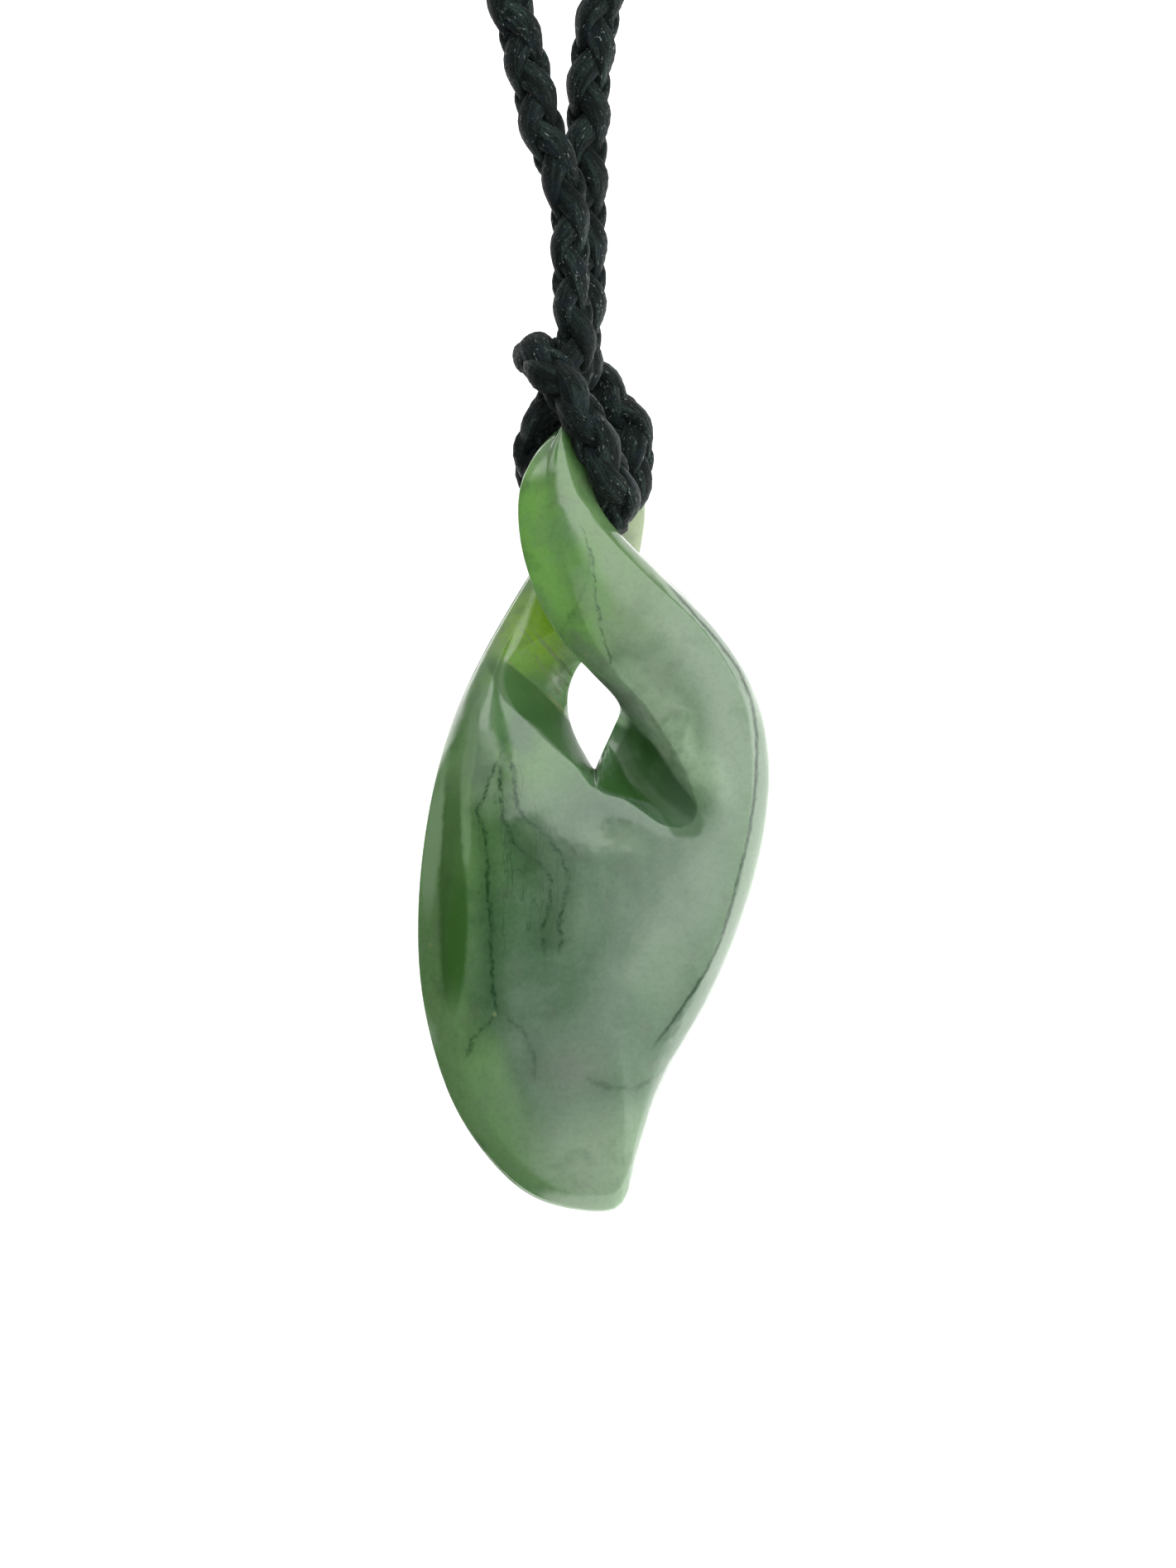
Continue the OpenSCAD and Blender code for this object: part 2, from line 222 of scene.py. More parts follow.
class StoneRecipe(Recipe):
    """A recipe painted in layers, by places in millimetres over the stone's foot.

    A tone is the name of one of the stone's colour settings, or a socket.
    """

    # How far the patches' edges, the wisps and the strips' sides stray to either side, in millimetres
    DRIFT = 1.2
    WISP_STRAY = 0.45
    STRIP_STRAY = 0.15
    # The haze round a wisp reaches so many times the wisp's own width
    HAZE_REACH = 6.0
    # A wisp is full over this share of its width, and fades out over this length at its ends
    WISP_CORE = 0.1
    WISP_EASE = 0.8
    # Room left beside a line in the curve that holds its course, in millimetres
    ROOM = 0.5

    def __init__(self, look):
        super().__init__("Greenstone")
        self.look = look
        self.colour = look.clear
        self.lines = 0.0
        self.mm = self.place(self.object_place(), (0, 0, -STONE_FOOT / MM), scale=(1 / MM,) * 3)
        self.across, self.back, self.up = self.add("ShaderNodeSeparateXYZ", Vector=self.mm).outputs
        drift = self.noise(self.mm, 0.22, 2.0, 0.5, "Color")
        shift = self.add("ShaderNodeVectorMath", {"operation": "MULTIPLY_ADD"}, Vector=drift)
        shift.inputs[1].default_value = (2 * self.DRIFT,) * 3
        self.feed(shift.inputs[2], self.mm)
        self.drifted = self.place(shift.outputs[0], (-self.DRIFT,) * 3)
        wander = self.noise(self.mm, 1.3, 5.0, 0.7, "Color")
        red, green, blue = self.add("ShaderNodeSeparateColor", Color=wander).outputs
        self.wisp_across = self.strayed(self.across, red, self.WISP_STRAY)
        self.wisp_up = self.strayed(self.up, blue, self.WISP_STRAY)
        self.side = self.strayed(self.across, green, self.STRIP_STRAY)
        # The haze of the wisps is fainter at the top of the face
        self.faint = self.fade(self.up, 27.5, 24.5, 0.4, 1.0)

    def strayed(self, place, noise, reach):
        """A place that strays up to the reach to either side."""
        return self.math("ADD", place, self.math("MULTIPLY_ADD", noise, 2 * reach, -reach))

    def cover(self, share, tone):
        """Covers the stone with a tone, as far as the share says."""
        paint = getattr(self.look, tone) if isinstance(tone, str) else tone
        self.colour = self.mix(share, self.colour, paint)

    def oval(self, places, centre, reach, turn, soft, strength):
        """The share of a soft oval; its centre and reach are in millimetres, its turn in degrees."""
        lay = self.place(places, centre, (0, math.radians(turn), 0), reach, "TEXTURE")
        glow = self.add("ShaderNodeTexGradient", {"gradient_type": "SPHERICAL"}, Vector=lay)
        return self.fade(glow.outputs[1], 0.0, soft, 0.0, strength)

    def course(self, run, path):
        """How far to the side a line is at each place of its run, from points (run, side)."""
        low, reach = path[0][0], path[-1][0] - path[0][0]
        base = min(side for _, side in path) - self.ROOM
        wide = max(side for _, side in path) + self.ROOM - base
        spots = [((place - low) / reach, (side - base) / wide) for place, side in path]
        share = self.math("MULTIPLY_ADD", run, 1 / reach, -low / reach)
        curve = self.add("ShaderNodeFloatCurve", Value=share)
        points = curve.mapping.curves[0].points
        points[0].location = spots[0]
        points[1].location = spots[-1]
        for spot in spots[1:-1]:
            points.new(*spot)
        curve.mapping.update()
        return self.math("MULTIPLY_ADD", curve.outputs[0], wide, base)

    def ends(self, run, path, ease):
        """Full along the path and fading out over the ease at each end of it."""
        low, high = path[0][0], path[-1][0]
        start = self.fade(run, low - ease / 3, low + ease)
        return self.times(start, self.fade(run, high + ease / 3, high - ease))

    def strip(self, near, far, soft, strength, ease=0.9):
        """The share of a strip up the stone between two lines, with soft sides."""
        inside = self.fade(self.math("SUBTRACT", self.side, self.course(self.up, near)), -soft, soft)
        room = self.math("SUBTRACT", self.course(self.up, far), self.side)
        within = self.fade(room, -soft, soft, 0.0, strength)
        return self.times(inside, within, self.ends(self.up, near, ease))

    def wisp(self, run, side, ragged, path, width, strength, haze):
        """Paints a fine ragged line over a soft haze along the path, and keeps where the line is."""
        away = self.math("ABSOLUTE", self.math("SUBTRACT", side, self.course(run, path)))
        ends = self.ends(run, path, self.WISP_EASE)
        cloud = self.fade(away, width * self.HAZE_REACH, 0.0, 0.0, haze)
        self.cover(self.times(cloud, ends, self.faint), "haze")
        line = self.times(self.fade(away, width, width * self.WISP_CORE, 0.0, strength), ragged, ends)
        self.cover(line, "vein")
        self.lines = self.math("MAXIMUM", self.lines, line)


# A patch that reaches so far back goes right through the stone, in millimetres
THROUGH = 60

# Soft patches of tone in the stone, painted in this order, each row with its
# tone, centre and reach in millimetres (across, back, up), turn in degrees, softness and strength
PATCHES = (
    # The milky heart of the body, up to the shoulder on the right
    ("milky", (2, 0, 17), (11, THROUGH, 20), 14, 0.55, 1),
    ("milky", (6.8, 0, 32), (6.5, THROUGH, 13), -22, 0.55, 0.9),
    # The front arm; its misty and rim patches on the right side are painted light over its lower edge, where
    # real shade and a dark reflection fall
    ("arm", (0.5, -4, 41), (7, 7, 11.5), -28, 0.6, 0.9),
    ("misty", (7.4, -4, 31.5), (5.6, 7, 11.5), -14, 0.7, 0.65),
    ("rim_light", (4.6, -5, 30.9), (2.7, 5, 8), -43, 0.7, 0.95),
    ("fresh", (-0.1, -4, 37.2), (1.5, 7, 3.4), -38, 0.8, 0.5),
    ("leaf", (0.4, -4, 40.4), (1.8, 7, 5.8), -20, 0.8, 0.8),
    ("fresh", (-2.5, -4, 42), (2.5, 7, 8.5), -8, 0.7, 0.85),
    # The thin left side, the foot and the right side; the thin patches are partly a painted glow of light
    # coming through the thin stone
    ("thin", (-6.6, 0, 8.6), (2.9, THROUGH, 8.8), -27, 0.75, 0.8),
    ("thin", (-6.8, 0, 29.4), (3.2, THROUGH, 6.5), 16, 0.6, 0.85),
    ("misty", (1.2, 0, 3.2), (7, THROUGH, 5), 10, 0.9, 0.9),
    ("pale", (7.6, 0, 18.5), (4.5, THROUGH, 8.5), 12, 0.9, 0.6),
    ("misty", (5.2, 0, 15.4), (3, THROUGH, 3.2), 12, 0.9, 0.5),
    ("deep", (2.4, 0, 8.4), (2.5, THROUGH, 1.9), 12, 0.9, 0.35),
    # The back arm's left side, the body's left edge with painted rim light, and the stone's tip with the
    # cord's painted shadow
    ("rim_light", (-5.5, 0, 26.5), (1.6, THROUGH, 2.4), 14, 0.9, 0.65),
    ("milky", (-3.6, 0, 30.4), (1.8, THROUGH, 2.4), -30, 0.8, 0.8),
    ("fresh", (-5.4, 0, 33.4), (1.5, THROUGH, 3.4), 30, 0.8, 0.4),
    ("rim_light", (-9.3, 0, 11.6), (0.8, THROUGH, 2.2), -18, 0.9, 0.7),
    ("misty", (-6.1, 0, 27.8), (1.3, THROUGH, 1.8), 0, 0.8, 0.85),
    ("pocket", (0.2, 0, 47.9), (1.1, THROUGH, 3), -24, 0.7, 0.6),
    # Darker and paler stone in the middle of the face and below the back arm; the dark patches are partly a
    # painted dark reflection on the face and painted shade below the back arm
    ("deep", (-2.9, 0, 20.6), (4.4, THROUGH, 6.8), 0, 0.9, 0.72),
    ("pocket", (-3, 0, 22.4), (1.9, THROUGH, 3.2), -10, 0.9, 0.9),
    ("misty", (2.2, 0, 23.7), (3.4, THROUGH, 1.5), 8, 0.8, 0.5),
    ("pale", (-0.7, 0, 19.2), (2.4, THROUGH, 4.6), 0, 0.9, 0.75),
    ("deep", (-3.4, 2, 32.2), (4, THROUGH, 2.3), 40, 0.9, 0.7),
    ("rosy", (-0.4, 0, 9.3), (3.2, THROUGH, 2.4), -12, 1, 0.35),
    # The thin stone of the back arm, which glows yellow-green: a painted glow of light coming through it,
    # with painted rim light
    ("rim_light", (-0.8, 3, 34), (1.2, 7, 2.8), 14, 0.6, 0.9),
    ("glow", (-2.7, 4, 36.8), (4.4, 7, 5), 20, 0.7, 1),
    ("lit", (3.6, 4, 42.6), (3.2, 7, 3.6), 0, 0.7, 0.95),
)

# Cloud and grain, painted in this order, each row with its
# noise, the value of the noise where it starts and where it is full, strength and tone
CLOUDS = (
    ("cloud", 0.5, 0.72, 0.35, "pale"),
    ("cloud", 0.48, 0.3, 0.4, "deep"),
    ("rosy", 0.58, 0.75, 0.2, "rosy"),
    ("grain", 0.4, 0.72, 0.16, "vein"),
    ("grain", 0.5, 0.28, 0.16, "pale"),
)

# Strips of the stone, each between two lines of places up and across in millimetres
# The pocket and the strip under the arm hold painted shade; the dark bands down the left side a painted dark
# reflection; the edge band, the band beside it and the rim line painted rim light; the pale facet a painted
# reflection
POCKET_SHADE = (
    [(23.6, 6.05), (24.3, 5.6), (24.9, 5.3), (25.5, 4.9), (26, 3.9), (26.3, 2.7), (27.2, 1.2), (28.2, 1.9),
     (29.5, 2.5), (30.5, 2.95), (31.7, 2.5)],
    [(23.6, 7.2), (24.3, 7.75), (24.9, 7.7), (25.8, 7.3), (26.8, 6.55), (28.2, 5.55), (29.5, 4.7),
     (30.5, 3.6), (31.7, 2.7)],
)
SHADE_UNDER_ARM = (
    [(27.2, 1), (28.5, -0.6), (29.5, -1.8), (30.9, -3.2), (32.7, -5), (34, -5.6), (35.2, -6)],
    [(27.2, 1.8), (28.5, 1.3), (29.5, 0.8), (30.7, -0.3), (31.8, -1.3), (32.9, -2.4), (34.2, -3.9),
     (35.2, -5.1)],
)
DARK_REFLECTION_BAND = (
    [(12.4, -7.9), (14.6, -8.6), (18.2, -8.8), (22.2, -8.8), (25.4, -8.6), (28.4, -8.2)],
    [(12.4, -7.8), (14.4, -7.3), (16.2, -7.1), (18.9, -7), (23.5, -7.3), (28.4, -7.5)],
)
EDGE_BAND = (
    [(18.4, -9.9), (22, -9.9), (25, -9.5), (27.8, -9.1)],
    [(18.4, -9.3), (22, -8.9), (25, -8.65), (27.8, -8.5)],
)
UPPER_BAND = (
    [(28.6, -8.3), (31.1, -7.9), (33.2, -6.9), (35.3, -5.9)],
    [(28.6, -7.6), (31.1, -7.1), (33.2, -6), (35.3, -5)],
)
BESIDE_BAND = (
    [(21.6, -7.25), (24.9, -7.4), (28, -7.4), (29.5, -7.15), (31.6, -6.9)],
    [(21.6, -6.9), (24.9, -6.8), (26.4, -6.85), (28, -6.6), (31.6, -6.4)],
)
RIM_LINE = (
    [(21.6, -8.95), (24.1, -8.85), (28, -8.7), (30.8, -7.9)],
    [(21.6, -8.75), (24.1, -8.65), (28, -8.4), (30.8, -7.6)],
)
PALE_REFLECTION_FACET = (
    [(26.2, -6.7), (28, -6.9), (31.3, -7), (33.4, -6.2)],
    [(26.2, -6.1), (28.6, -5.3), (30.6, -5.3), (33.4, -5.3)],
)
STEM = (
    [(28.6, -4.9), (29.3, -5.05), (30.6, -5.25), (32.1, -5.3), (33.3, -5.3)],
    [(28.6, -4.4), (29.3, -4.5), (30.6, -4.65), (32.1, -4.8), (33.3, -4.8)],
)
ARM_LINE = (
    [(38, -1.7), (39.1, -2), (40.9, -2.4), (43.1, -2.6), (46.8, -2.5)],
    [(38, -1.5), (39.1, -1.8), (40.9, -2.2), (43.1, -2.35), (46.8, -2.25)],
)

# Dark wisps that run up the stone, each row with its
# path as places up and across in millimetres, width, strength and the strength of its haze
WISPS = (
    ([(16.3, -2.1), (17.6, -2.3), (18.3, -2.2), (19.6, -1.8), (21, -1.8), (21.9, -2.3), (22.9, -3.6),
      (24.1, -4.4), (25.1, -4.7), (26.3, -4.9), (27.6, -4.9), (29, -4.8)], 0.24, 0.85, 0.55),
    ([(16.4, -1.2), (18.2, -1.2), (19.6, -1), (21.1, -0.7), (22.2, -1), (23.2, -1.6), (24.1, -2.3),
      (24.9, -3.4), (25.9, -3.9), (27.5, -4.1), (28.9, -4.4)], 0.24, 0.85, 0.55),
    ([(12.5, -5.1), (14.3, -5.4), (16.9, -5.5), (18.9, -5.6), (20.8, -5.7), (23.3, -5.8), (24.8, -6.2),
      (25.4, -6.4), (25.9, -6.1), (27.6, -5.5), (29.2, -4.9)], 0.2, 0.8, 0.5),
    ([(9.6, -7.1), (10.4, -6.9), (11, -6.7), (12.1, -5.7), (12.9, -5.1)], 0.24, 0.55, 0.25),
    ([(8.4, -2.8), (10.2, -2.9), (11.3, -3.4), (12.2, -4.2), (13, -5.1)], 0.26, 0.5, 0.3),
    ([(21.8, 0.3), (23, -0.5), (24.1, -1.6), (25.1, -3.1), (25.6, -3.9)], 0.3, 0.3, 0.3),
    ([(34, 2.2), (35.6, 1.7), (37.5, 1.2), (39.6, 1), (41.4, 0.7), (43.3, 0)], 0.16, 0.6, 0.12),
    ([(36.5, -1.2), (38.5, 0), (40, 0.5), (41.5, 0.6)], 0.16, 0.3, 0.15),
    ([(9.4, 5), (11, 5.9), (13, 6.6), (14.9, 7.8)], 0.3, 0.35, 0.2),
)
# The same for a wisp that runs across the stone, as places across and up
CROSS_WISPS = (
    ([(0.4, 8.7), (1.6, 8.1), (3.1, 7.9), (4.3, 8.3), (5.4, 9.4)], 0.3, 0.5, 0.2),
)
# The same for the dark line along the ridge on the right, up to the front arm
RIDGE_LINE = (
    [(10.5, 4.6), (13.1, 6.5), (16, 8.3), (18.6, 9.3), (21.2, 10), (25, 10.8), (28.2, 11.1),
     (31, 11), (33.5, 10.3), (35.4, 9.1), (37.4, 7.4), (39.7, 5.4)], 0.2, 1, 0.05,
)

# Small pale flecks, as places across and up in millimetres
FLECKS = ((-9.4, 16.9), (-5.3, 12.6), (0.4, 35.1))


def paint_body(m):
    """Clear green with patches of other tones, some of them painted light and shade, painted lit streaks in
    the back arm, then cloud and grain.
    """
    for tone, centre, reach, turn, soft, strength in PATCHES:
        m.cover(m.oval(m.drifted, centre, reach, turn, soft, strength), tone)

    # Lit streaks in the back arm beside the hole: painted light coming through the thin stone
    slant = m.place(m.mm, turn=(0, math.radians(40), 0))
    streaks = m.noise(m.place(slant, scale=(3.4, 0.5, 0.24)), 1.0, 4.0, 0.65)
    near_hole = m.oval(m.mm, (-2.4, 3, 33.8), (2.6, 7, 5.0), -40, 0.4, 0.9)
    m.cover(m.times(m.fade(streaks, 0.45, 0.6), near_hole), "lit")

    noises = {
        "cloud": m.noise(m.drifted, 0.36, 4.0, 0.55),
        "rosy": m.noise(m.place(m.drifted, (7, 3, 5)), 0.5, 2.0, 0.5),
        "grain": m.noise(m.mm, 3.2, 4.0, 0.7),
    }
    for name, start, end, strength, tone in CLOUDS:
        m.cover(m.fade(noises[name], start, end, 0.0, strength), tone)


def paint_left_side(m):
    """Down the left side: a dark band of painted dark reflection, painted rim light in lines beside it and a
    pale facet of painted reflection over them.
    """
    # Pale green of painted rim light, for the lines along the left rim
    edge = m.mix(0.6, m.look.rim_light, m.look.thin)
    m.cover(m.strip(*PALE_REFLECTION_FACET, 0.22, 0.55), "pale")
    # The painted dark reflection is stronger lower down
    darker_below = m.fade(m.up, 24.0, 17.5, 0.55, 0.92)
    m.cover(m.times(m.strip(*DARK_REFLECTION_BAND, 0.18, 1.0, 3.0), darker_below), "lens")
    m.cover(m.strip(*UPPER_BAND, 0.2, 0.35), "lens")
    m.cover(m.strip(*EDGE_BAND, 0.2, 0.9, 2.4), edge)
    m.cover(m.strip(*BESIDE_BAND, 0.14, 0.55), edge)
    m.cover(m.strip(*RIM_LINE, 0.14, 0.65), edge)
    m.cover(m.strip(*STEM, 0.25, 0.5), "deep")


def paint_hollows(m):
    """Painted shade below the back arm and in the pocket on the hole's other side, painted lighter towards
    the pocket's right where real shade falls deeper; gives how dull they are.
    """
    look = m.look
    facing = m.fade(m.back, 3.2, 1.6)
    shade_under_arm = m.times(m.strip(*SHADE_UNDER_ARM, 0.16, 0.9), facing)
    m.cover(shade_under_arm, m.mix(m.fade(m.up, 33.0, 31.0), look.lens, look.pocket))
    pocket = m.times(m.strip(*POCKET_SHADE, 0.2, 1.0, 0.3), facing)
    heart = m.noise(m.mm, 0.55, 2.0, 0.5)
    inside = m.mix(m.fade(heart, 0.5, 0.68, 0.0, 0.5), look.pocket, look.deep)
    # Lighter towards the right, against the real shade deeper in the pocket
    inside = m.mix(m.fade(m.across, 4.4, 6.2, 0.0, 0.5), inside, look.milky)
    m.cover(pocket, inside)
    return m.math("MAXIMUM", pocket, m.math("MULTIPLY", shade_under_arm, 0.9))


def paint_fine_lines(m):
    """Lit edges over the hole and on the arm, a veil of threads, the dark wisps and pale flecks."""
    over_hole = m.oval(m.mm, (2.6, 0, 31.3), (0.6, THROUGH, 1.1), -36, 0.7, 0.9)
    m.cover(over_hole, "rim_light")
    in_front = m.fade(m.back, -1.0, -2.5)
    m.cover(m.times(m.strip(*ARM_LINE, 0.16, 0.2), in_front), "lit")

    veil = m.noise(m.place(m.mm, scale=(0.9, 0.4, 0.17)), 1.0, 3.0, 0.55)
    thread = m.fade(m.math("ABSOLUTE", m.math("SUBTRACT", veil, 0.5)), 0.022, 0.0)
    middle = m.oval(m.mm, (-3.4, 0, 22.0), (4.0, THROUGH, 8.5), 0, 0.5, 0.4)
    m.cover(m.times(thread, middle), "vein")

    ragged = m.fade(m.noise(m.mm, 1.9, 4.0, 0.7), 0.36, 0.6, 0.15, 1.0)
    for row in WISPS:
        m.wisp(m.wisp_up, m.wisp_across, ragged, *row)
    for row in CROSS_WISPS:
        m.wisp(m.wisp_across, m.wisp_up, ragged, *row)
    nearly_whole = m.fade(ragged, 0.0, 1.0, 0.75, 1.0)
    m.wisp(m.up, m.side, nearly_whole, *RIDGE_LINE)
    for across, up in FLECKS:
        m.cover(m.oval(m.mm, (across, 0, up), (0.22, THROUGH, 0.26), 0, 1.0, 0.7), "lit")


def greenstone_material(look):
    """Nephrite: a milky grey-green heart, clear green edges, dark wisps and a high polish, with painted
    light, shade and reflections in places.
    """
    m = StoneRecipe(look)
    paint_body(m)
    paint_left_side(m)
    dull = paint_hollows(m)
    paint_fine_lines(m)

    fine = m.noise(m.mm, 6.0, 3.0, 0.6)
    worn = m.math("MULTIPLY_ADD", dull, 0.4, look.roughness - 0.03)
    unpolished = m.math("MAXIMUM", dull, m.lines)
    surface = m.bump(m.noise(m.mm, 0.5, 2.0, 0.45), 0.08 * MM, 0.6)
    return m.finish(
        Base_Color=m.colour,
        Roughness=m.math("MULTIPLY_ADD", fine, 0.06, worn),
        IOR=1.62,
        Subsurface_Weight=look.translucency,
        Subsurface_Radius=(1.0, 1.7, 0.8),
        Subsurface_Scale=look.depth,
        Coat_Weight=m.math("MULTIPLY_ADD", unpolished, -0.95 * look.polish, look.polish),
        Coat_Roughness=0.04,
        Normal=surface,
        Coat_Normal=surface,
    )


def thread_material(name, look, fibre, lean):
    """Waxed thread: fine fibres that lean across the strand, with painted shade between them, dull between
    small painted glints.

    The map named Lay holds the place round the strand and the place along it, in millimetres;
    fibre is the width of one fibre in millimetres and lean its angle to the strand in degrees.
    """
    m = Recipe(name)
    lay = m.add("ShaderNodeUVMap", {"uv_map": "Lay"}).outputs[0]
    spot = m.object_place()
    leaned = m.place(lay, turn=(0, 0, math.radians(lean)))

    def fibres(across, along, detail, roughness):
        return m.noise(m.place(leaned, scale=(across / fibre, along / fibre, 1)), 1.0, detail, roughness)

    fine = fibres(0.5, 0.05, 4.0, 0.7)
    yarn = fibres(0.14, 0.02, 2.0, 0.5)
    cloud = m.noise(spot, 260.0, 3.0, 0.6)
    fuzz = m.noise(spot, 7500.0, 2.0, 0.6)
    height = m.math("ADD", m.math("MULTIPLY_ADD", fuzz, 0.7, -0.35), m.math("MULTIPLY_ADD", yarn, 1.1, fine))
    # Painted shade: darker in the hollows between raised fibres and lighter on their tops
    shade = m.times(m.fade(height, 0.95, 1.35), m.fade(cloud, 0.3, 0.7, 0.5, 1.3))
    colour = m.mix(shade, look.thread, look.thread_light)
    tint = m.noise(spot, 900.0, 2.0, 0.5)
    colour = m.mix(m.fade(tint, 0.5, 0.7, 0.0, 0.5), colour, look.thread_blue)
    # Painted glints: small specks of wax painted pale as highlights
    specks = fibres(0.5, 0.2, 2.0, 0.6)
    glint = m.times(m.fade(specks, 0.63, 0.70), m.fade(cloud, 0.38, 0.52, 0.0, 0.95))
    return m.finish(
        Base_Color=m.mix(glint, colour, look.wax_glint),
        Roughness=m.fade(height, 0.7, 1.4, 0.64, 0.4),
        Specular_IOR_Level=0.12,
        Sheen_Weight=0.03,
        Sheen_Roughness=0.4,
        Normal=m.bump(height, 0.15 * MM, 0.9),
    )


# The stone

# The front face in millimetres: its heights, how high up and how far forward it is evened out, its left
# side, and the bevel on its right, which is so far across at so far up and leans to the right
FACE_LOW, FACE_HIGH, EVEN_HIGH, EVEN_BACK, FACE_LEFT = 3, 26, 25.5, -1, -5
BEVEL_ACROSS, BEVEL_UP, BEVEL_LEAN = 2.2, 8.8, 0.5
# Evening out eases in over this much at the left side, at the bevel, and at the foot and top
LEFT_EASE, BEVEL_EASE, END_EASE = 2, 1.8, 3
# The smooth curve's degree, its middle height, and the scales across and up that keep its terms small
CURVE_DEGREE, CURVE_UP, CURVE_SCALES = 4, 14, (6, 10)
# A part of the stone looks at the viewer if the way it faces goes towards the back by less than this
FACING = -0.7
# Two triangles are joined up to this turn between them, if together they are no further from square than
# the first limit; on the front face the second one lets slanting slivers be joined too
JOIN_TURN = math.radians(40)
SQUARE_LIMIT = math.radians(60)
SLANT_LIMIT = math.radians(170)
# A ridge starts where two faces turn by so many degrees and is sharpest where they turn by so many
RIDGE_START, RIDGE_FULL = 11, 23
RIDGE_SHARPNESS = 0.75
# The lip under the pocket lies lower than in the solid: places across and up, and how much lower
LIP = (
    (1, 28.8, 0.4), (2.1, 28.3, 1.2), (3.6, 28, 1.4), (4.9, 26.9, 1.15), (5.9, 25.7, 0.85), (7, 24.9, 0.3),
)
# How far round the lip the stone follows it, and from where to where back, in millimetres
LIP_REACH = 2.6
LIP_DEPTH = (-5, 2.5)


def join_slivers(bm):
    """Joins the slanting triangles left on the face, which would show as a faint line."""
    left = []
    for face in bm.faces:
        height = over_foot(face.calc_center_median())[2]
        if len(face.verts) == 3 and face.normal.y < FACING and FACE_LOW < height < FACE_HIGH:
            left.append(face)
    bmesh.ops.join_triangles(
        bm, faces=left, angle_face_threshold=JOIN_TURN, angle_shape_threshold=SLANT_LIMIT,
    )


def even_out(bm):
    """Draws the middle of the face towards one smooth curve, where the solid has faint folds."""
    bm.normal_update()
    found = []
    for vert in bm.verts:
        x, y, z = over_foot(vert.co)
        if vert.normal.y >= FACING or y >= EVEN_BACK or not FACE_LOW < z < FACE_HIGH:
            continue
        bevel = BEVEL_ACROSS + (z - BEVEL_UP) * BEVEL_LEAN
        if FACE_LEFT < x < bevel:
            left = step_between(x, FACE_LEFT, FACE_LEFT + LEFT_EASE)
            right = step_between(x, bevel, bevel - BEVEL_EASE)
            foot = step_between(z, FACE_LOW, FACE_LOW + END_EASE)
            top = step_between(z, EVEN_HIGH, EVEN_HIGH - END_EASE)
            share = left * right * (foot * top)
            found.append((vert, share, x / CURVE_SCALES[0], y, (z - CURVE_UP) / CURVE_SCALES[1]))
    powers = [(i, j) for i in range(CURVE_DEGREE + 1) for j in range(CURVE_DEGREE + 1 - i)]
    terms = [[x ** i * z ** j for i, j in powers] for _, _, x, _, z in found]
    depths = numpy.array([row[3] for row in found])
    factors = numpy.linalg.lstsq(numpy.array(terms), depths, rcond=None)[0]
    for (vert, share, _, y, _), term in zip(found, terms):
        vert.co.y += (float(numpy.dot(factors, term)) - y) * share * MM


def keep_ridges(bm):
    """Keeps the carver's ridges crisp where two faces meet at a clear angle."""
    crease = bm.edges.layers.float.get("crease_edge") or bm.edges.layers.float.new("crease_edge")
    for edge in bm.edges:
        if len(edge.link_faces) == 2:
            turn = math.degrees(edge.calc_face_angle(0))
            share = (turn - RIDGE_START) / (RIDGE_FULL - RIDGE_START)
            edge[crease] = RIDGE_SHARPNESS * min(1.0, max(0.0, share))


def lower_lip(bm):
    """Draws the lip under the pocket down along the face, less and less with the distance from it."""
    for vert in bm.verts:
        x, y, z = over_foot(vert.co)
        if not LIP_DEPTH[0] < y < LIP_DEPTH[1]:
            continue
        here = Vector((x, z))
        best, drop = LIP_REACH, 0.0
        for (x0, z0, drop0), (x1, z1, drop1) in zip(LIP, LIP[1:]):
            start = Vector((x0, z0))
            way = Vector((x1 - x0, z1 - z0))
            share = min(1.0, max(0.0, (here - start).dot(way) / way.length_squared))
            away = (start + way * share - here).length
            if away < best:
                best, drop = away, drop0 + (drop1 - drop0) * share
        near = 1 - best / LIP_REACH
        vert.co.z -= drop * MM * near * near * (3 - 2 * near)


def rounded(bm, levels):
    """The same shape with its faces rounded by subdivision, as a bmesh again."""
    cut = bpy.data.objects.new("cut_twist", finished_mesh(bm, "cut_twist"))
    bpy.context.scene.collection.objects.link(cut)
    smooth = cut.modifiers.new("Smooth", "SUBSURF")
    smooth.levels = smooth.render_levels = levels
    coarse = cut.data
    fine = bpy.data.meshes.new_from_object(cut.evaluated_get(bpy.context.evaluated_depsgraph_get()))
    bm = bmesh.new()
    bm.from_mesh(fine)
    bpy.data.objects.remove(cut)
    for mesh in (coarse, fine):
        bpy.data.meshes.remove(mesh)
    return bm


# The cord

# The braid's middle line is found in steps of this length before its rings are spaced evenly
FINE_STEP = 0.25 * MM
# Two directions are the same if they differ by less than this, squared
STRAIGHT = 1e-18
# The braid eases in and out of the knot over one part in so many of the knot
KNOT_EASE = 5
# The left run is thinnest so far past the start of the knot, and thinner over this reach each way
PULL_CENTRE = 1.5 * MM
PULL_REACH = 11 * MM
# How much wider and thinner a strand is where it lies outside, as a share of its size
OUTSIDE_WIDER = 0.10
OUTSIDE_THINNER = 0.06
# A strand is made in lengths of so many rings
RINGS_PER_LENGTH = 40
# How the fibres lean across the strands, in degrees
FIBRE_LEAN = 24.0


def between(a, b, c, d, t):
    """A point of the smooth curve from b to c, as the solids have it."""
    second, third = 2 * a - 5 * b + 4 * c - d, 3 * b - a - 3 * c + d
    return (2 * b + (c - a) * t + second * t * t + third * t * t * t) / 2


